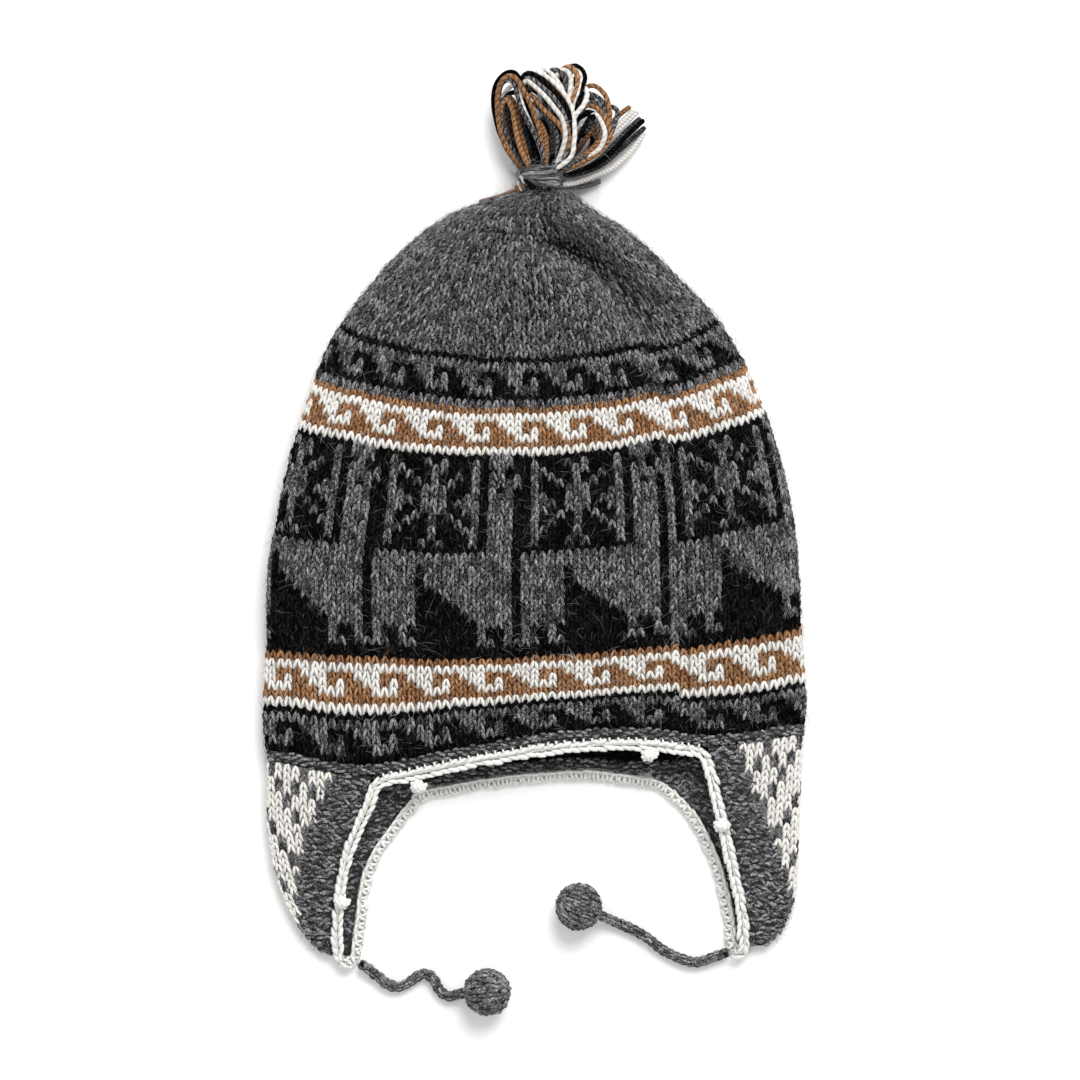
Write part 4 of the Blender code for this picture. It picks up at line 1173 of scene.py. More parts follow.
def crown_stitches():
    """Every stitch of the crown: one piece for each yarn on the front and on the back."""
    generator = np.random.default_rng(11)
    counts = {row: columns_in(row) for row in range(TOP_ROW)}
    groups = {}
    for row in range(TOP_ROW):
        for column in range(counts[row]):
            colour = "plain" if row >= PLAIN_FROM else yarn_of(row, column)
            front = column < counts[row] * 0.53 or column > counts[row] * 0.97
            groups.setdefault((colour, front), []).append((row, column))
    for (colour, front), stitches in groups.items():
        name = f"stitches_{colour}_{'front' if front else 'back'}"
        piece = knit_piece(name, stitches, counts.get, generator, front, colour)
        slot = "grey_wool" if colour == "plain" else "patterned_knit"
        finish_piece(piece, yarn("grey" if colour == "plain" else colour), "crown", slot=slot)


BUMP_RADII = np.array((0, 0.75, 1.0, 0.75, 0))
BUMP_WIDTH = 0.0036


def bumps(name, y, around, depth, wide, tall, generator, facing=1, curl=0.18, sides=5):
    """Garter bumps: short yarns laid across, arched over the row, on the outer or the inner side."""
    y, around = np.asarray(y, float), np.asarray(around, float)
    count = len(y)
    centre = TUBE.point(y, around, depth)
    normal = TUBE.normal(y, around) * facing
    side = unit(TUBE.point(y, around - 0.004) - TUBE.point(y, around + 0.004))
    up = unit(np.cross(normal * facing, side))
    jitter = generator.normal(0, 1, (count, 4))
    lean = curl * jitter[:, 0:1]
    arch = np.where(generator.random((count, 1)) < 0.5, 1, -1) * 0.30
    paths = []
    for place in (-0.5, -0.36, 0.0, 0.36, 0.5):
        bow = (0.25 - place * place) * 4
        a = wide * (place + 0.06 * jitter[:, 1:2])
        b = tall * (arch * bow * 1.2 + lean * place * 2 + 0.10 * jitter[:, 2:3])
        sink = 0.0008 * (1 - bow) ** 1.5
        paths.append(centre + side * a + up * b - normal * (sink + 0.0001 * jitter[:, 3:4]))
    thick = BUMP_RADII * tall * 0.56 * (1 + 0.1 * generator.normal(0, 1, (count, 1)))
    return strands(name, np.stack(paths, axis=1), thick, sides, normal, 0.95)


# The band hangs a gap below the hem line, and the next piece a gap below it.
HEM_GAP = 0.0003
BAND_HEIGHT = 0.0050
BAND_GAP = 0.0006


def band():
    """The garter band along the hem, outside and inside."""
    generator = np.random.default_rng(5)
    turn = np.arange(COLUMNS) / COLUMNS

    def level(around, share):
        return hem_y(around) - HEM_GAP - BAND_HEIGHT * (1 - share)

    sides = [
        [TUBE.point(level(turn, share), turn, depth) for share in (0.06, 0.5, 0.94)]
        for depth in (0.0010, 0.0028)
    ]
    # Painted shade: the band's wall is the purl grey, darkened.
    core = shell("band_core", sides, True, plain=SHADED_CORE_TONES["purl"])
    finish_piece(core, yarn("core"), "hem_band", slot="grey_wool")
    for label, depth, facing in (("outside", 0.0009, 1), ("inside", 0.0030, -1)):
        ys, arounds = [], []
        for line, share in enumerate((0.10, 0.37, 0.63, 0.90)):
            around = (np.arange(COLUMNS) + 0.5 * (line % 2)) / COLUMNS
            ys.append(level(around, share))
            arounds.append(around)
        piece = bumps(
            f"band_ridges_{label}", np.concatenate(ys), np.concatenate(arounds), depth, BUMP_WIDTH, 0.00135,
            generator, facing,
        )
        finish_piece(piece, yarn("purl"), "hem_band", slot="grey_wool")


def inner_purl():
    """The purl side inside the opening, over the rows next to the hem."""
    generator = np.random.default_rng(6)
    groups = {"grey": [], "black": []}
    for row in range(0, 7):
        for column in range(0 if row < 3 else COLUMNS // 2 - 2, COLUMNS):
            colour = yarn_of(row, column)
            groups["black" if colour == "black" else "grey"].append((row, column))
    for group, cells in groups.items():
        row, column = np.array(cells, float).T
        around = column_around(column + 0.5)
        lines = [row_y(row + share, around) for share in (0.25, 0.75)]
        arounds = [around - 0.25 / COLUMNS, around + 0.25 / COLUMNS]
        piece = bumps(
            f"inside_{group}", np.concatenate(lines), np.concatenate(arounds), 0.0029, 0.0038, 0.0015,
            generator, -1,
        )
        finish_piece(piece, yarn(group), "crown", slot="patterned_knit")


# Flaps

QUARTERS = {(1, True): 0, (-1, True): 1, (-1, False): 2, (1, False): 3}


def edge_x(y, side, front):
    """Where a flap's free edge is, on the front or the back."""
    name = ("left_" if side < 0 else "right_") + ("front" if front else "back")
    return side * smooth_value(FLAP_EDGES, "along", name, along_of(y)) * HAT_WIDTH / 2


def fold_around(side):
    """The share around the tube at which a side fold is."""
    return 0.5 if side < 0 else 0.0


def around_at(y, side, front, arc):
    """The share around the tube at an arc length from a side fold, over the front or the back."""
    share = np.asarray(arc, float) / TUBE.quarter_length(y, QUARTERS[side, front]) / 4
    toward = 1 if (side > 0) == front else -1
    return fold_around(side) + toward * share


def edge_arc(y, side, front, room=0.0030):
    """Arc length from the fold to the flap's free edge, less the room of the edging."""
    around = TUBE.layer(edge_x(y, side, front) + side * room, y, front)
    away = np.abs((around - fold_around(side) + 0.5) % 1 - 0.5)
    return float((away * 4 * TUBE.quarter_length(y, QUARTERS[side, front]))[0])


FLAP_ROW = 0.0035
FLAP_COLUMN = 0.0041
RIDGE_HEIGHT = 0.00165
PANEL_HEAD = 0.0063
PANEL_COLUMNS = 8.2
PANEL_NARROWING = 0.36


def flap_head_y(around):
    """The y of a flap's upper end, under the band."""
    return hem_y(around) - HEM_GAP - BAND_HEIGHT - BAND_GAP


def flap_foot_y(side):
    """The y of a flap's lower end, above the edging."""
    return y_of(LEFT_TIP if side < 0 else RIGHT_TIP) + EDGING_WIDTH + BAND_GAP


def panel_yarn(away, row):
    """Grey zigzags on the white panel: lines that leave the fold on their way down, and one V at the top."""
    if row < 6 and away == 5 - row // 2:
        return "grey"
    return "grey" if (away - 1 - row // 2) % 4 == 0 else "white"


def flap_stitches(name, side):
    """The panel of stockinette round the fold, as one piece for each yarn."""
    generator = np.random.default_rng(21 + side)
    found = {"white": [], "grey": []}
    head = float(hem_y(fold_around(side))) - PANEL_HEAD
    foot = flap_foot_y(side)
    for front in (True, False):
        for row in range(int((head - foot) / FLAP_ROW)):
            reach = PANEL_COLUMNS - PANEL_NARROWING * row
            for away in range(0 if front else 1, math.floor(reach) + 1):
                arc = away * FLAP_COLUMN
                base = float(flap_head_y(around_at(head, side, front, arc)))
                y = base - (row + 0.5) * FLAP_ROW - 0.0004
                if y < foot + 0.001 or arc > edge_arc(y, side, front) - 0.002:
                    continue
                found[panel_yarn(away, row)].append((y, float(around_at(y, side, front, arc))))
    for colour, stitches in found.items():
        y, around = np.array(stitches).T
        step = 1 / 4 * FLAP_COLUMN / TUBE.quarter_length(y, 0)
        centre = TUBE.point(y, around)
        normal = TUBE.normal(y, around)
        across = TUBE.point(y, around - step / 2) - TUBE.point(y, around + step / 2)
        up = TUBE.point(y + FLAP_ROW / 2, around) - TUBE.point(y - FLAP_ROW / 2, around)
        paths, normals = leg_paths(centre, across, up, normal, LEG_PLACES, generator)
        paths -= normals[:, None] * (0.0002 if colour == "grey" else 0)
        piece = strands(f"{name}_panel_{colour}", paths, LEG_RADII * LEG_RADIUS * 1.06, 5, normals, 1.02)
        finish_piece(piece, yarn(colour), name, slot="flap_knit")


def flap_ridges(name, side):
    """Garter ridges of the flap's border, and all over its inner side."""
    generator = np.random.default_rng(31 + side)
    foot = flap_foot_y(side)
    head = float(hem_y(fold_around(side))) - BAND_HEIGHT
    for label, facing, depth, sides in (("outside", 1, 0.0010, 5), ("inside", -1, 0.0026, 4)):
        ys, arounds = [], []
        for front in (True, False):
            for line in range(int((head - foot + 0.012) / RIDGE_HEIGHT)):
                y = head + 0.010 - line * RIDGE_HEIGHT
                if y < foot + 0.0008:
                    continue
                limit = edge_arc(y, side, front) - 0.0010
                panel = (PANEL_COLUMNS - PANEL_NARROWING * (head - y) / FLAP_ROW + 0.25) * FLAP_COLUMN
                start = max(panel, 0) if facing > 0 else (0 if front else FLAP_COLUMN / 2)
                arc = start + FLAP_COLUMN * (0.35 + 0.5 * (line % 2))
                while arc < limit:
                    around = float(around_at(y, side, front, arc))
                    if y < float(flap_head_y(around)) - RIDGE_HEIGHT * 0.4:
                        ys.append(y)
                        arounds.append(around)
                    arc += FLAP_COLUMN * 0.86
        piece = bumps(
            f"{name}_ridges_{label}", ys, arounds, depth, BUMP_WIDTH, RIDGE_HEIGHT, generator, facing, 0.5,
            sides,
        )
        finish_piece(piece, yarn("purl"), name, slot="flap_knit")


def flap_core(name, side):
    """The wall behind a flap's stitches, its yarns darkened as painted shade between the stitches, darker
    behind the border than behind the white panel.
    """
    stations = np.linspace(0, 1, 34)
    steps = np.linspace(0, 1, 41)
    foot = flap_foot_y(side)

    def wall_point(station, step, depth):
        y = y_of(CORNER_ALONG)
        for _ in range(3):
            front_arc, back_arc = edge_arc(y, side, True), edge_arc(y, side, False)
            run = -front_arc + (front_arc + back_arc) * step
            around = float(around_at(y, side, run < 0, abs(run)))
            head = float(flap_head_y(around))
            y = head + (foot - head) * station
        return TUBE.point(y, around, depth)

    grids = [
        [[wall_point(station, step, depth) for step in steps] for station in stations]
        for depth in (CORE_DEPTH, 0.0024)
    ]
    # Painted shade: the wall behind the white panel is half the white wall's darkened tone.
    panel_shade_tone = tuple(0.5 * v for v in SHADED_CORE_TONES["white"])
    head = float(hem_y(fold_around(side))) - PANEL_HEAD
    tones = []
    for station in stations[:-1]:
        y = head + (foot - head) * station
        front_arc, back_arc = edge_arc(y, side, True), edge_arc(y, side, False)
        panel = (PANEL_COLUMNS - PANEL_NARROWING * (head - y) / FLAP_ROW + 0.4) * FLAP_COLUMN
        runs = [-front_arc + (front_arc + back_arc) * (step + 0.5 / 40) for step in steps[:-1]]
        tones.append([panel_shade_tone if abs(run) < panel else SHADED_CORE_TONES["purl"] for run in runs])
    piece = shell(f"{name}_core", grids, False, tones)
    finish_piece(piece, yarn("core"), name, slot="flap_knit")


# Edging

EDGING_THICKNESS = 0.0036
TIP_TURN = 0.0046
LINK = 0.0042
# Radii of the yarns of its links, the comb under them, the bar along the comb, the ticks and the bobbles.
LINK_YARN = 0.00122
COMB_YARN = 0.00082
BAR_YARN = 0.00085
TICK_YARN = 0.00062
BOBBLE_YARN = 0.00125
SPINE_RADIUS = 0.00080


def layer_around(x, y, front):
    """The share around the tube of one place on a layer."""
    return float(TUBE.layer(np.array([x]), np.array([y]), front)[0])


def layer_point(x, y, front):
    """A place half the edging's thickness below the skin of a layer, and its outward direction."""
    around = layer_around(x, y, front)
    return TUBE.point(y, around, EDGING_THICKNESS / 2), TUBE.normal(y, around)


def edging_line():
    """The closed middle line of the edging as (place, outward) rows, from the front hem round both flaps."""
    corner = y_of(CORNER_ALONG)
    below = 0.0053

    def hem_run(front):
        run = []
        right, left = abs(float(edge_x(corner, 1, front))), abs(float(edge_x(corner, -1, front)))
        for i in range(25):
            share = 0.5 - 0.47 * math.cos(math.pi * i / 24)
            x = right * (1 - share) - left * share
            y = float(hem_y(layer_around(x, corner, front))) - below - BAND_GAP - EDGING_WIDTH / 2
            run.append(layer_point(x, y, front))
        return run

    def flap_run(side, front):
        run = []
        around = layer_around(float(edge_x(corner, side, front)), corner, front)
        head = float(hem_y(around)) - below - EDGING_WIDTH * 1.1
        foot = flap_foot_y(side)
        for i in range(22):
            y = head + (foot - head) * i / 21
            run.append(layer_point(float(edge_x(y, side, front)), y, front))
        return run

    line = hem_run(True)
    for side in (-1, 1):
        front, back = flap_run(side, True), flap_run(side, False)
        tip = (front[-1][0] + back[-1][0]) / 2 - np.array((0, TIP_TURN, 0))
        whole = front + [(tip, np.array((0, -1.0, 0)))] + back[::-1]
        if side > 0:
            line += hem_run(False)[::-1]
            whole = whole[::-1]
        line += whole
    return line


def even_closed(line, spacing):
    """Evenly spaced (place, outward, forward) along a smooth closed curve."""
    places = np.array([p for p, _ in line])
    normals = np.array([n for _, n in line])
    count = len(places)
    fine, facing = [], []
    t = np.arange(12)[:, None] / 12
    for i in range(count):
        fine.append(curve_between(*(places[(i + k) % count] for k in (-1, 0, 1, 2)), t))
        facing.append(normals[i] * (1 - t) + normals[(i + 1) % count] * t)
    fine, facing = (np.concatenate((*rows, rows[0][:1])) for rows in (fine, facing))
    length = run_lengths(fine)
    steps = int(round(length[-1] / spacing))
    goal = np.arange(steps) / steps * length[-1]
    found, turned = (
        np.stack([np.interp(goal, length, rows[:, i]) for i in range(3)], axis=1) for rows in (fine, facing)
    )
    forward = unit(np.roll(found, -1, axis=0) - np.roll(found, 1, axis=0))
    turned = unit(turned - forward * np.sum(turned * forward, axis=1, keepdims=True))
    return found, turned, forward


def edging():
    """The white crocheted edging: a chain of links, the loops that hold it to the knit, and its bobbles."""
    generator = np.random.default_rng(8)
    place, outward, forward = even_closed(edging_line(), LINK)
    across = np.cross(forward, outward)
    count = len(place)
    paths, facing, radii = [], [], []

    def add(steps, spot, out, radius):
        paths.append(np.stack([spot(t) for t in steps], axis=1))
        facing.append(out)
        radii.append(np.broadcast_to(LEG_RADII * radius, (len(out), 5)))

    for hand in (1, -1):
        jitter = generator.normal(0, 1, (count, 3))

        def link(t):
            a = hand * (0.00155 - 0.00115 * t) + 0.00026 * jitter[:, 0:1]
            rise = 0.00115 - 0.0010 * abs(t / 0.8) ** 2 + 0.00022 * jitter[:, 1:2]
            return place + forward * (t * LINK) + across * a + outward * rise

        add((-0.80, -0.52, 0.0, 0.52, 0.80), link, outward, LINK_YARN * (1 + 0.12 * jitter[:, 2:3]))
    along_hem = np.abs(forward[:, 0:1]) > 0.8
    for part in (-0.27, 0.27):
        jitter = generator.normal(0, 1, (count, 4))

        def comb(t):
            tooth = part * LINK + 0.00018 * jitter[:, 3:4] + 0.0004 * jitter[:, 1:2] * t
            bow = (1 if part > 0 else -1) * LINK * (0.44 - 0.40 * ((1 - t) / 2) ** 2)
            a = 0.0020 * t - 0.0003 + 0.00040 * jitter[:, 0:1] * (1 - t) / 2
            sunk = 0.0017 - 0.0012 * t * t + 0.00015 * jitter[:, 2:3]
            return place + forward * np.where(along_hem, tooth, bow) + across * a - outward * sunk

        add((-1.0, -0.6, 0.0, 0.6, 1.0), comb, -outward, COMB_YARN * (1 + 0.10 * jitter[:, 2:3]))
    jitter = generator.normal(0, 1, (count, 3))

    def bar(t):
        a = 0.0017 + 0.00015 * jitter[:, 0:1] + 0.0003 * jitter[:, 1:2] * t
        return place + forward * (t * LINK) + across * a - outward * (0.0016 - 0.0012 * t * t)

    add((-0.7, -0.45, 0.0, 0.45, 0.7), bar, -outward, BAR_YARN)
    on = (outward[:, 2] > 0) & (np.abs(forward[:, 0]) > 0.75)
    jitter = generator.normal(0, 1, (int(on.sum()), 3))

    def tick(t):
        rise = 0.0013 + 0.0008 * math.sin(3 * t)
        ahead = forward[on] * (0.0005 * t * jitter[:, 0:1])
        return place[on] + across[on] * (0.0016 + 0.0026 * t) + outward[on] * rise + ahead

    add((0.0, 0.2, 0.5, 0.8, 1.0), tick, outward[on], TICK_YARN)
    paths, radii, facing = (np.concatenate(rows) for rows in (paths, radii, facing))
    piece = strands("edging_chain", paths, radii, 5, facing)
    finish_piece(piece, yarn("edging"), "edging", slot="white_wool")
    spine = place + across * 0.0006
    spine = np.concatenate((spine, spine[:1]))[None]
    core = strands("edging_core", spine, np.full(count + 1, SPINE_RADIUS), 8, outward[:1], 0.9, pointed=False)
    finish_piece(core, yarn("edging"), "edging", slot="white_wool")
    bobbles(generator)


BOBBLE_LOOPS = 16


def bobbles(generator):
    """The four bobbles of the edging: a few fat loops on top of each other."""
    paths, facing = [], []
    for bobble in BOBBLES:
        x, y = bobble["x"] * HAT_WIDTH / 2, y_of(bobble["along"])
        centre, normal = layer_point(x, y, True)
        down = unit(np.array((0.0, -1.0, 0.0)) - normal * -normal[1])
        side = np.cross(normal, down)
        for i in range(BOBBLE_LOOPS):
            turn = i * 2.4
            reach = 0.0003 + 0.0024 * math.sqrt(i / BOBBLE_LOOPS)
            rise = 0.0034 - 0.0020 * i / BOBBLE_LOOPS
            spot = centre + normal * rise + side * math.cos(turn) * reach * 1.25
            spot = spot + down * (math.sin(turn) * reach * 0.85 + 0.0004)
            turn = turn + generator.uniform(0.6, 2.4)
            lie = side * -math.sin(turn) + down * math.cos(turn)
            paths.append([
                spot + lie * t * 0.0034 + normal * 0.0009 * (1 - (2 * t) ** 2)
                for t in (-0.5, -0.33, 0, 0.33, 0.5)
            ])
            facing.append(normal)
    piece = strands("edging_bobbles", np.array(paths), LEG_RADII * BOBBLE_YARN, 6, np.array(facing))
    finish_piece(piece, yarn("edging"), "edging", slot="white_wool")


# Ties and balls

TIE_DIAMETER = 0.0056
TIE_CORE = 0.0042
TIE_LINK = 0.0034
TIE_COLUMNS = 5
TIE_YARN = 0.00082
BALL_DIAMETER = 0.0228
BALL_HEIGHT = 0.0206
BALL_SEAT = 0.0008
BALL_ROUNDS = 12
BALL_STITCH = 0.0036
BALL_YARN = 0.00094
PIECE_GAP = 0.0003


def tie(name, ball_pieces, route):
    """A crocheted cord: a soft core that is the cord's own line, with columns of links round it."""
    path = smooth_path(route, 60)
    length = float(run_lengths(path)[-1])
    curve = bpy.data.curves.new(name + "_cord", "CURVE")
    curve.dimensions = "3D"
    curve.bevel_depth = TIE_CORE / 2
    curve.bevel_resolution = 3
    curve.use_fill_caps = True
    spline = curve.splines.new("POLY")
    spline.points.add(len(path) - 1)
    for slot, point in zip(spline.points, path):
        slot.co = (*point, 1)
    core = new_object(name + "_cord", curve)
    finish_piece(core, yarn("grey", long=True), name, slot="grey_wool")
    generator = np.random.default_rng(len(route))
    count = int(length / TIE_LINK)
    fine = smooth_path(route, count * 4 + 1)
    tangent, side, out = (v[0] for v in carried_frames(fine[None], np.array((0, 0, 1.0))))
    paths, facing = [], []
    for column in range(TIE_COLUMNS):
        for i in range(count):
            at = min(i * 4 + (2 if column % 2 else 0) + 2, len(fine) - 1)
            for hand in (-1, 1):
                link = []
                lean = generator.normal(0, 0.09)
                deep = generator.normal(0, 0.00016)
                for t in (-0.75, -0.45, 0.0, 0.45, 0.75):
                    swing = hand * (0.12 + 0.13 * (t + 0.75)) + lean * 0.3
                    angle = 2 * math.pi * (column + 0.5 + swing) / TIE_COLUMNS
                    reach = TIE_DIAMETER / 2 - TIE_YARN - 0.0007 * abs(t / 0.75) ** 2 + deep
                    spoke = side[at] * math.cos(angle) + out[at] * math.sin(angle)
                    link.append(fine[at] + tangent[at] * t * TIE_LINK + spoke * reach)
                paths.append(link)
                facing.append(spoke)
    links = strands(name + "_links", np.array(paths), LEG_RADII * TIE_YARN, 5, np.array(facing))
    finish_piece(links, yarn("purl"), name, slot="grey_wool")


def ball(name, route):
    """A stuffed ball: a padded core with rounds of crochet stitches."""
    end, before = Vector(route[-1]).xy, Vector(route[-2]).xy
    way = (end - before).normalized()
    middle = end + way * (BALL_DIAMETER / 2 + PIECE_GAP - BALL_SEAT)
    centre = np.array((middle.x, middle.y, BALL_HEIGHT / 2))
    axis = unit(np.array((way.x, way.y, 0.25)))
    squash = np.array((1, 1, BALL_HEIGHT / BALL_DIAMETER))
    mesh = bmesh.new()
    bmesh.ops.create_uvsphere(mesh, u_segments=28, v_segments=18, radius=BALL_DIAMETER / 2 - 0.0014)
    bmesh.ops.scale(mesh, vec=tuple(squash), verts=mesh.verts)
    bmesh.ops.translate(mesh, vec=centre, verts=mesh.verts)
    core = place_mesh(name + "_core", mesh)
    # Painted shade: the ball's core is the purl grey, darkened.
    tone_faces(core.data, [SHADED_CORE_TONES["purl"]] * len(core.data.polygons))
    finish_piece(core, yarn("core"), name, slot="grey_wool")
    generator = np.random.default_rng(77)
    side = unit(np.cross(axis, (0, 0, 1.0)))
    top = np.cross(side, axis)
    radius = BALL_DIAMETER / 2
    paths, facing = [], []
    for i in range(BALL_ROUNDS):
        polar = math.pi * (i + 0.5) / BALL_ROUNDS
        around = max(4, int(round(2 * math.pi * radius * math.sin(polar) / BALL_STITCH)))
        for j in range(around):
            for hand in (-1, 1):
                link = []
                for t in (-0.9, -0.55, 0.0, 0.55, 0.9):
                    high = polar + t * math.pi / BALL_ROUNDS * 0.95
                    swing = hand * (0.14 + 0.13 * (t + 0.9) / 1.8)
                    turn = 2 * math.pi * (j + 0.5 * (i % 2) + swing) / around
                    reach = radius - 0.00085 - 0.0007 * abs(t / 0.9) ** 2
                    spoke = side * math.cos(turn) + top * math.sin(turn)
                    normal = axis * -math.cos(high) + spoke * math.sin(high)
                    link.append(centre + normal * reach * squash)
                paths.append(link)
                facing.append(normal)
    paths = np.array(paths) + generator.normal(0, 0.00028, (len(paths), 1, 3))
    paths = paths + generator.normal(0, 0.00016, paths.shape)
    paths[..., 2] = np.maximum(paths[..., 2], 0.0009)
    links = strands(name + "_stitches", paths, LEG_RADII * BALL_YARN, 5, np.array(facing))
    finish_piece(links, yarn("purl"), name, slot="grey_wool")
    return [core, links]


# Tassel

YARN_RADIUS = 0.00122
BIT_RADIUS = 0.0009
BINDING_YARN = 0.00098
BINDING_RADIUS = 0.0106
BINDING_LENGTH = 0.0110
BINDING_TURNS = 15


def from_neck(route, heights, places=64):
    """A smooth path from a route in plan, from the middle of the binding's foot, and its heights."""
    return smooth_path(np.column_stack((route + np.array((NECK.x, NECK.y)), heights)), places)


def loop_path(row):
    """The way of one tassel loop, out low and back high."""
    route = np.array(row["route"], float) * MM
    length = run_lengths(route)
    root, low, high = NECK.z, row["low"] * MM, row["high"] * MM
    heights = np.interp(
        length / length[-1], (0, 0.2, 0.42, 0.62, 0.85, 1),
        (root - 0.003, low, 0.55 * low + 0.45 * high, high, 0.75 * high + 0.25 * root, root + 0.004),
    )
    return from_neck(route, heights)


def end_path(row):
    """The way of a strand with a cut end."""
    route = np.array(row["route"], float) * MM
    share = np.linspace(0, 1, len(route))
    heights = np.interp(share, (0, 0.35, 1), (NECK.z, row["high"] * MM, row["low"] * MM))
    return from_neck(route, heights)


def long_yarns(name, paths, radius, sides=8):
    """Long yarns. Their plies, with painted shade in the grooves between them, are in the material."""
    paths = np.array(paths)
    radii = np.full(paths.shape[1], radius)
    radii[:2] *= (0.7, 0.95)
    radii[-2:] *= (0.95, 0.7)
    return strands(name, paths, radii, sides, np.array((0.3, 0.1, 1.0)), pointed=False)


def tassel():
    """The yarn tassel: looped strands and cut ends, one piece for each yarn."""
    generator = np.random.default_rng(3)
    groups = {"grey": [], "black": [], "brown": [], "white": []}
    for i, row in enumerate(LOOPS):
        path = loop_path(row)
        share = np.linspace(0, 1, len(path))[:, None]
        root = np.array((0.0016 * math.sin(2.4 * i), 0, 0.0028 * math.cos(2.4 * i)))
        groups[row["yarn"]].append(path + root * np.clip(np.abs(2 * share - 1) * 1.6 - 0.6, 0, 1))
    for row in ENDS:
        groups[row["yarn"]].append(end_path(row))
    names = list(groups)
    for row in LOOPS[1::3]:
        inner = dict(
            low=row["low"] * 0.7, high=row["high"] * 0.66,
            route=tuple((x * 0.86 + 0.6, 10 + (y - 10) * 0.88) for x, y in row["route"]),
        )
        groups[names[int(generator.integers(0, len(names)))]].append(loop_path(inner))
    for colour, paths in groups.items():
        piece = long_yarns(f"tassel_{colour}", paths, YARN_RADIUS)
        finish_piece(piece, yarn(colour, long=True), "tassel", slot="tassel_yarn")


def binding():
    """Yarn wound round the tassel's root over a plain core, with short bits of yarn on it."""
    generator = np.random.default_rng(4)
    mesh = bmesh.new()
    bmesh.ops.create_cone(
        mesh, cap_ends=True, segments=32, radius1=BINDING_RADIUS - 0.0022, radius2=BINDING_RADIUS - 0.0018,
        depth=BINDING_LENGTH,
    )
    bmesh.ops.rotate(mesh, matrix=Matrix.Rotation(-math.pi / 2, 3, "X"), verts=mesh.verts)
    bmesh.ops.translate(mesh, vec=NECK + Vector((0, BINDING_LENGTH / 2, 0)), verts=mesh.verts)
    bmesh.ops.recalc_face_normals(mesh, faces=mesh.faces)
    core = place_mesh("binding_core", mesh)
    # Painted shade: the binding's core is the grey yarn, darkened.
    tone_faces(core.data, [SHADED_CORE_TONES["grey"]] * len(core.data.polygons))
    finish_piece(core, yarn("core"), "binding", slot="tassel_yarn")
    angle = np.linspace(0, 2 * math.pi, 44)
    paths = []
    for i in range(BINDING_TURNS):
        wobble = generator.normal(0, 1, 6)
        reach = BINDING_RADIUS - 0.0013 + 0.0004 * wobble[0] * np.sin(angle + wobble[1]) - 0.0004 * (i % 2)
        reach = reach - 0.0020 * abs((2 * i + 1) / BINDING_TURNS - 1) ** 3
        along = 0.0008 + (BINDING_LENGTH - 0.0012) * (i + 0.5) / BINDING_TURNS
        along = along + 0.0009 * np.sin(angle + 0.5 + 0.5 * wobble[2])
        along = along + 0.0003 * np.sin(3 * angle + wobble[3])
        z = np.maximum(NECK.z + np.sin(angle) * reach, 0.0014)
        paths.append(np.column_stack((NECK.x + np.cos(angle) * reach, NECK.y + along, z)))
    piece = long_yarns("binding_yarn", paths, BINDING_YARN, 7)
    finish_piece(piece, yarn("grey"), "binding", slot="tassel_yarn")
    groups = {}
    for row in BITS:
        route = np.array(row["route"], float) * MM
        height = NECK.z + np.sqrt(np.maximum(0.0112**2 - route[:, 0] ** 2, 0.005**2)) + 0.0016
        groups.setdefault(row["yarn"], []).append(from_neck(route, height, 14))
    groups["brown"].append(smooth_path(np.array(STRAY) * MM + np.array((NECK.x, NECK.y, 0)), 14))
    for colour, paths in groups.items():
        piece = long_yarns(f"binding_bits_{colour}", paths, BIT_RADIUS, 6)
        finish_piece(piece, yarn(colour, long=True), "binding", slot="tassel_yarn")


# Fuzz

# Painted sheen: the black yarn's loose fibres are lighter than any of its own fibres.
HAIR_TONES = {
    "grey": (0.22, 0.22, 0.23), "black": (0.045, 0.043, 0.042), "brown": (0.24, 0.125, 0.062),
    "white": (0.70, 0.69, 0.67),
}
# A short fibre's places along its length and its thickness there, then the fibres' radii and numbers.
HAIR_PLACES = (0, 0.35, 0.7, 1)
HAIR_RADII = np.array((0, 1, 0.8, 0))
HAIR = 0.00007
BINDING_HAIR = 0.00008
LONG_HAIR = 0.000045
CROWN_HAIRS = 9200
BINDING_HAIRS = {"grey": 600, "black": 160}
TASSEL_HAIRS = {"grey": 420, "black": 200, "brown": 160, "white": 160}
RIDGE_HAIRS = 1150
PANEL_HAIRS = 160
EDGING_HAIRS = 300
LONG_HAIRS = 150


def hair_material(colour):
    """Stray fibres of one yarn."""
    material, _, shader = new_material(colour + "_fibres", 0.8, 0.1)
    shader.inputs["Base Color"].default_value = (*HAIR_TONES[colour], 1)
    return material


def hair_lengths(generator, usual, least, count):
    """Uneven lengths of loose fibres."""
    return generator.gamma(4.0, usual, (count, 1)) + least


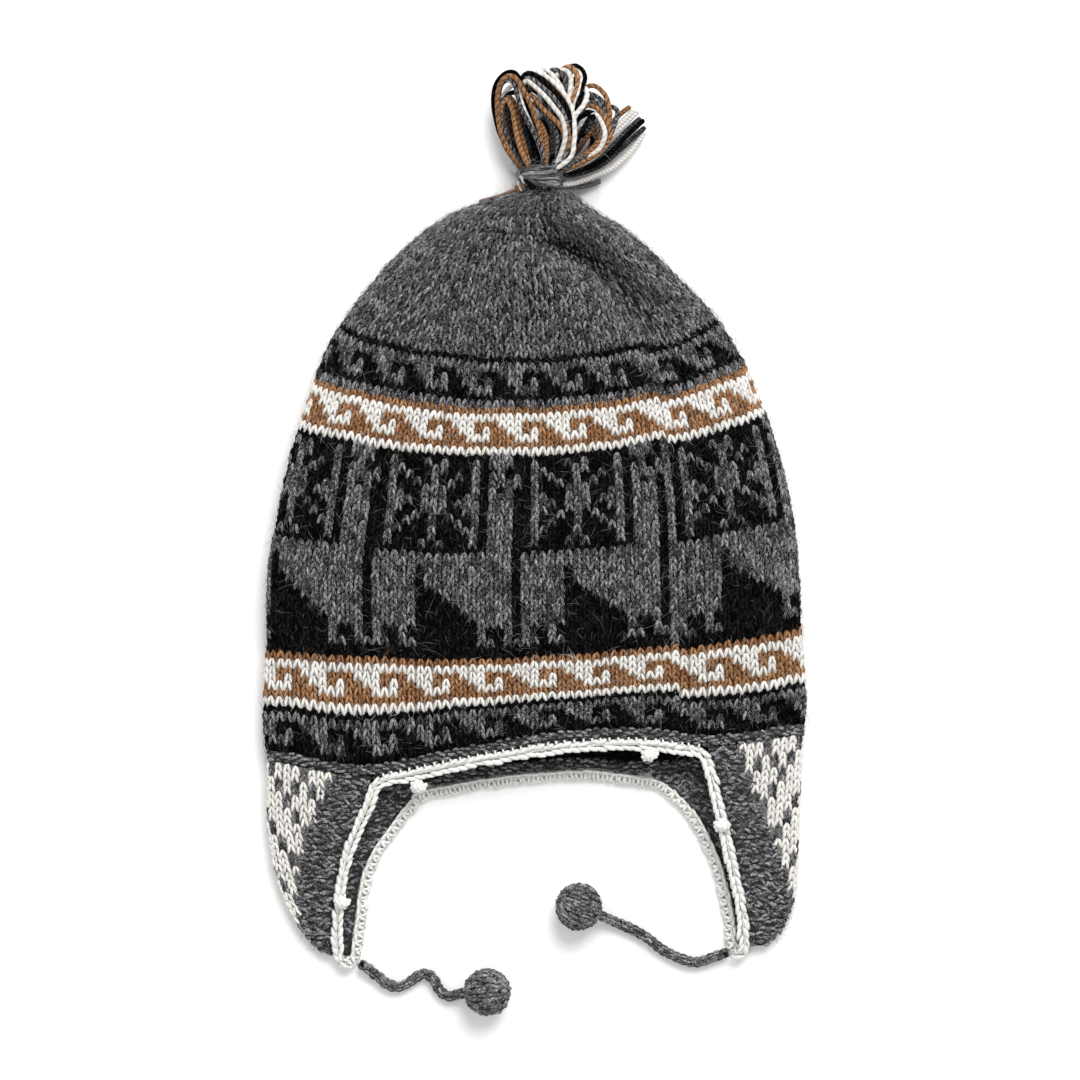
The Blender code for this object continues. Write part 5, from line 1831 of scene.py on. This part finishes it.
def hairs(y, around, length, stand, thick, places, generator):
    """Loose fibres that lie and stand on the skin, in any direction."""
    count = len(y)
    start = TUBE.point(y, around)
    normal = TUBE.normal(y, around)
    heading = generator.uniform(0, 2 * math.pi, count)
    ahead = unit(TUBE.point(y, around - 0.004) - TUBE.point(y, around + 0.004))
    up = np.cross(normal, ahead)
    lie = ahead * np.cos(heading)[:, None] + up * np.sin(heading)[:, None]
    bend = np.cross(normal, lie)
    curl = generator.normal(0, 0.45, (count, 1))
    paths = []
    for t in np.linspace(0, 1, places):
        rise = stand * math.sin(math.pi * (0.08 + 0.8 * t)) - 0.0002
        paths.append(start + lie * length * t + bend * length * curl * t * t + normal * rise)
    paths = np.stack(paths, axis=1)
    paths[..., 2] = np.maximum(paths[..., 2], FLOOR_ROOM)
    radii = np.sin(np.linspace(0, math.pi, places)) ** 0.5 * thick
    radii[0] = radii[-1] = 0
    return paths, np.tile(radii, (count, 1)), normal


def tufts(name, source, colour, replaced, slot, count, length, generator):
    """Loose fibres that start on the surface of a finished piece."""
    mesh = bpy.data.objects[source].data
    points, outs = np.zeros(len(mesh.vertices) * 3), np.zeros(len(mesh.vertices) * 3)
    mesh.vertices.foreach_get("co", points)
    mesh.vertices.foreach_get("normal", outs)
    chosen = generator.integers(0, len(mesh.vertices), count)
    start, out = points.reshape(-1, 3)[chosen], unit(outs.reshape(-1, 3)[chosen])
    lie = unit(np.cross(out, generator.normal(0, 1, (count, 3))))
    bend = np.cross(out, lie)
    reach = hair_lengths(generator, length / 4, length * 0.2, count)
    curl = generator.normal(0, 0.4, (count, 1))
    paths = np.stack([
        start + (lie * t + bend * curl * t * t + out * 0.42 * math.sin(math.pi * 0.75 * t)) * reach
        for t in HAIR_PLACES
    ], axis=1)
    paths[..., 2] = np.maximum(paths[..., 2], FLOOR_ROOM)
    piece = strands(name, paths, HAIR_RADII * HAIR, 3, out)
    finish_piece(piece, hair_material(colour), replaced, slot=slot)


def crown_fuzz(generator):
    """Loose fibres of the crown, of the yarns they lie on and a little of the others."""
    count = CROWN_HAIRS
    rows = generator.uniform(0, TOP_ROW - 1, count)
    around = np.where(
        generator.random(count) < 0.86, generator.uniform(-0.02, 0.52, count), generator.random(count)
    )
    y = row_y(rows, around)
    length = hair_lengths(generator, 0.0009, 0.0012, count)
    stand = np.abs(generator.normal(0.0004, 0.0005, (count, 1)))
    columns = np.floor((0.5 - around) % 1 * COLUMNS).astype(int)
    colours = np.array([yarn_of(int(r), int(c)) for r, c in zip(rows, columns)])
    mixed = generator.random(count)
    colours[mixed < 0.16] = "grey"
    colours[mixed > 0.985] = "brown"
    paths, radii, normal = hairs(y, around, length, stand, HAIR, 4, generator)
    for colour in HAIR_TONES:
        chosen = colours == colour
        piece = strands("fuzz_" + colour, paths[chosen], radii[chosen], 3, normal[chosen])
        finish_piece(piece, hair_material(colour), "crown", slot="grey_wool")


def binding_fuzz(generator):
    """Loose fibres of the binding."""
    count = sum(BINDING_HAIRS.values())
    turn = generator.uniform(0, 2 * math.pi, count)
    out = np.column_stack((np.cos(turn), np.zeros(count), np.sin(turn)))
    start = np.array(NECK) + out * 0.0100 + np.array((0, 1, 0)) * generator.uniform(-0.002, 0.014, (count, 1))
    lie = unit(generator.normal(0, 1, (count, 3)))
    bend = unit(np.cross(lie, out))
    length = hair_lengths(generator, 0.0010, 0.001, count)
    paths = np.stack([
        start + lie * length * t + (bend * 0.5 + out * 0.3) * length * t * (1 - t) for t in HAIR_PLACES
    ], axis=1)
    paths[..., 2] = np.maximum(paths[..., 2], FLOOR_ROOM)
    first = 0
    for colour, share in BINDING_HAIRS.items():
        chosen = slice(first, first + share)
        piece = strands("binding_fuzz_" + colour, paths[chosen], HAIR_RADII * BINDING_HAIR, 3, out[chosen])
        finish_piece(piece, hair_material(colour), "binding", slot="tassel_yarn")
        first += share


def fuzz():
    """Loose fibres of each yarn that soften the stitches, and a few long stray ones."""
    generator = np.random.default_rng(12)
    crown_fuzz(generator)
    binding_fuzz(generator)
    for colour, count in TASSEL_HAIRS.items():
        source = "tassel_" + colour
        tufts(source + "_fuzz", source, colour, "tassel", "tassel_yarn", count, 0.0034, generator)
    for flap in ("flap_left", "flap_right"):
        ridges, panel = flap + "_ridges_outside", flap + "_panel_white"
        tufts(flap + "_fuzz_grey", ridges, "grey", flap, "flap_knit", RIDGE_HAIRS, 0.0032, generator)
        tufts(flap + "_fuzz_white", panel, "white", flap, "flap_knit", PANEL_HAIRS, 0.0034, generator)
    tufts("edging_fuzz", "edging_chain", "white", "edging", "white_wool", EDGING_HAIRS, 0.0030, generator)
    rows = generator.uniform(2, TOP_ROW - 6, LONG_HAIRS)
    around = generator.uniform(0.02, 0.48, LONG_HAIRS)
    length = hair_lengths(generator, 0.0022, 0.003, LONG_HAIRS)
    stand = np.abs(generator.normal(0.0006, 0.0006, (LONG_HAIRS, 1)))
    paths, radii, normal = hairs(row_y(rows, around), around, length, stand, LONG_HAIR, 8, generator)
    piece = strands("fuzz_long", paths, radii, 3, normal)
    finish_piece(piece, hair_material("grey"), "crown", slot="grey_wool")


# Stage

FRAME_WIDTH = 1080 * 0.000478
FRAME_LEVEL = 0.012
CAMERA_X, CAMERA_Y = 0.0026, -0.0105
LENS = 150
SENSOR = 36
# Places and sizes of the two lights, high above the hat.
KEY_LIGHT = ((0.72, 2.1, 2.45), 2.2)
FILL_LIGHT = ((-0.9, -1.4, 2.2), 2.4)
FLOOR_TONE = 0.97


def stage():
    """Floor, lights and the camera straight above."""
    settings = bpy.context.scene.chullo_stage
    camera_data = bpy.data.cameras.new("camera")
    camera_data.lens = LENS
    camera_data.sensor_width = SENSOR
    camera_data.clip_start, camera_data.clip_end = 0.05, 20
    camera = new_object("camera", camera_data)
    camera.location = (CAMERA_X, CAMERA_Y, FRAME_LEVEL + FRAME_WIDTH * LENS / SENSOR)
    bpy.context.scene.camera = camera
    mesh = bmesh.new()
    bmesh.ops.create_grid(mesh, x_segments=1, y_segments=1, size=4)
    bmesh.ops.translate(mesh, vec=(0, 0, -FLOOR_ROOM), verts=mesh.verts)
    floor = place_mesh("floor", mesh)
    paper, _, shader = new_material("pale_floor", 0.9, 0.5)
    shader.inputs["Base Color"].default_value = (FLOOR_TONE, FLOOR_TONE, FLOOR_TONE, 1)
    floor.data.materials.append(paper)
    for name, (place, size), power in (
        ("key_light", KEY_LIGHT, settings.key_power), ("fill_light", FILL_LIGHT, settings.fill_power),
    ):
        light_data = bpy.data.lights.new(name, "AREA")
        light_data.shape = "DISK"
        light_data.size = size
        light_data.energy = power
        light = new_object(name, light_data)
        light.location = place
        light.rotation_euler = (Vector((0, 0, 0)) - Vector(place)).to_track_quat("-Z", "Y").to_euler()
    world = bpy.data.worlds.new("studio")
    world.use_nodes = True
    background = world.node_tree.nodes["Background"]
    background.inputs["Color"].default_value = (1, 1, 1, 1)
    background.inputs["Strength"].default_value = settings.sky
    bpy.context.scene.world = world
    bpy.context.scene.view_settings.view_transform = "Standard"


# The add-on

def colour_property(name, text, default):
    """A colour that a user may change."""
    return bpy.props.FloatVectorProperty(
        name=name, description=text, default=default, subtype="COLOR", size=3, min=0, max=1
    )


class ChulloYarns(bpy.types.PropertyGroup):
    """Colours of the yarns"""

    grey: colour_property("Grey yarn", "Body colour of the heather grey wool", (0.029, 0.028, 0.031))
    # The grey purl is the grey yarn painted lighter: partly its fluffier light fibres, partly a painted
    # highlight.
    purl: colour_property("Grey purl", "Body colour of the grey wool on its purl side", (0.066, 0.064, 0.068))
    black: colour_property("Black yarn", "Body colour of the black wool", (0.0012, 0.0012, 0.0014))
    brown: colour_property("Brown yarn", "Body colour of the brown wool", (0.27, 0.122, 0.047))
    white: colour_property("White yarn", "Body colour of the white wool", (0.75, 0.73, 0.69))
    # The edging colour is the white yarn painted lighter, a painted highlight against the shade it lies in.
    edging: colour_property("Edging yarn", "Body colour of the edging's wool", (0.80, 0.79, 0.76))


class ChulloStage(bpy.types.PropertyGroup):
    """Light of the studio"""

    key_power: bpy.props.FloatProperty(
        name="Key light", description="Power of the light beyond the crown", default=108, min=0, unit="POWER"
    )
    fill_power: bpy.props.FloatProperty(
        name="Fill light", description="Power of the light beyond the flaps", default=10, min=0, unit="POWER"
    )
    sky: bpy.props.FloatProperty(
        name="Sky", description="Strength of the even light from all round", default=0.62, min=0
    )


class CHULLO_OT_stage(bpy.types.Operator):
    """Add the pale floor, the soft lights and the camera"""

    bl_idname = "chullo.stage"
    bl_label = "Stage"

    def execute(self, context):
        stage()
        return {"FINISHED"}


class CHULLO_OT_ties(bpy.types.Operator):
    """Crochet the two ties and the balls at their ends"""

    bl_idname = "chullo.ties"
    bl_label = "Ties and balls"

    def execute(self, context):
        for side, route in (("left", LEFT_TIE), ("right", RIGHT_TIE)):
            tie("tie_" + side, ball("ball_" + side, route), route)
        return {"FINISHED"}


class CHULLO_OT_crown(bpy.types.Operator):
    """Knit the crown with its bands, and the purl side inside its opening"""

    bl_idname = "chullo.crown"
    bl_label = "Crown"

    def execute(self, context):
        crown_core()
        crown_stitches()
        inner_purl()
        return {"FINISHED"}


class CHULLO_OT_band(bpy.types.Operator):
    """Knit the garter band along the hem"""

    bl_idname = "chullo.band"
    bl_label = "Hem band"

    def execute(self, context):
        band()
        return {"FINISHED"}


class CHULLO_OT_flaps(bpy.types.Operator):
    """Knit both ear flaps"""

    bl_idname = "chullo.flaps"
    bl_label = "Ear flaps"

    def execute(self, context):
        for name, side in (("flap_left", -1), ("flap_right", 1)):
            flap_core(name, side)
            flap_stitches(name, side)
            flap_ridges(name, side)
        return {"FINISHED"}


class CHULLO_OT_edging(bpy.types.Operator):
    """Crochet the white edging with its bobbles"""

    bl_idname = "chullo.edging"
    bl_label = "Edging"

    def execute(self, context):
        edging()
        return {"FINISHED"}


class CHULLO_OT_tassel(bpy.types.Operator):
    """Add the yarn tassel and its binding"""

    bl_idname = "chullo.tassel"
    bl_label = "Tassel"

    def execute(self, context):
        binding()
        tassel()
        return {"FINISHED"}


class CHULLO_OT_fuzz(bpy.types.Operator):
    """Add the loose fibres of the wool"""

    bl_idname = "chullo.fuzz"
    bl_label = "Fuzz"

    def execute(self, context):
        fuzz()
        return {"FINISHED"}


STEPS = (
    CHULLO_OT_stage, CHULLO_OT_ties, CHULLO_OT_crown, CHULLO_OT_band, CHULLO_OT_flaps, CHULLO_OT_edging,
    CHULLO_OT_tassel, CHULLO_OT_fuzz,
)


class CHULLO_PT_panel(bpy.types.Panel):
    """The chullo's colours, light and pieces"""

    bl_label = "Chullo"
    bl_idname = "CHULLO_PT_panel"
    bl_space_type = "VIEW_3D"
    bl_region_type = "UI"
    bl_category = "Chullo"

    def draw(self, context):
        for group in (context.scene.chullo_yarns, context.scene.chullo_stage):
            for name in group.__annotations__:
                self.layout.prop(group, name)
        for step in STEPS:
            self.layout.operator(step.bl_idname)


CLASSES = (ChulloYarns, ChulloStage, *STEPS, CHULLO_PT_panel)


def register():
    for each in CLASSES:
        bpy.utils.register_class(each)
    bpy.types.Scene.chullo_yarns = bpy.props.PointerProperty(type=ChulloYarns)
    bpy.types.Scene.chullo_stage = bpy.props.PointerProperty(type=ChulloStage)


def unregister():
    del bpy.types.Scene.chullo_stage
    del bpy.types.Scene.chullo_yarns
    for each in reversed(CLASSES):
        bpy.utils.unregister_class(each)


def main():
    register()
    for step in STEPS:
        group, name = step.bl_idname.split(".")
        getattr(getattr(bpy.ops, group), name)()


if __name__ == "__main__":
    main()
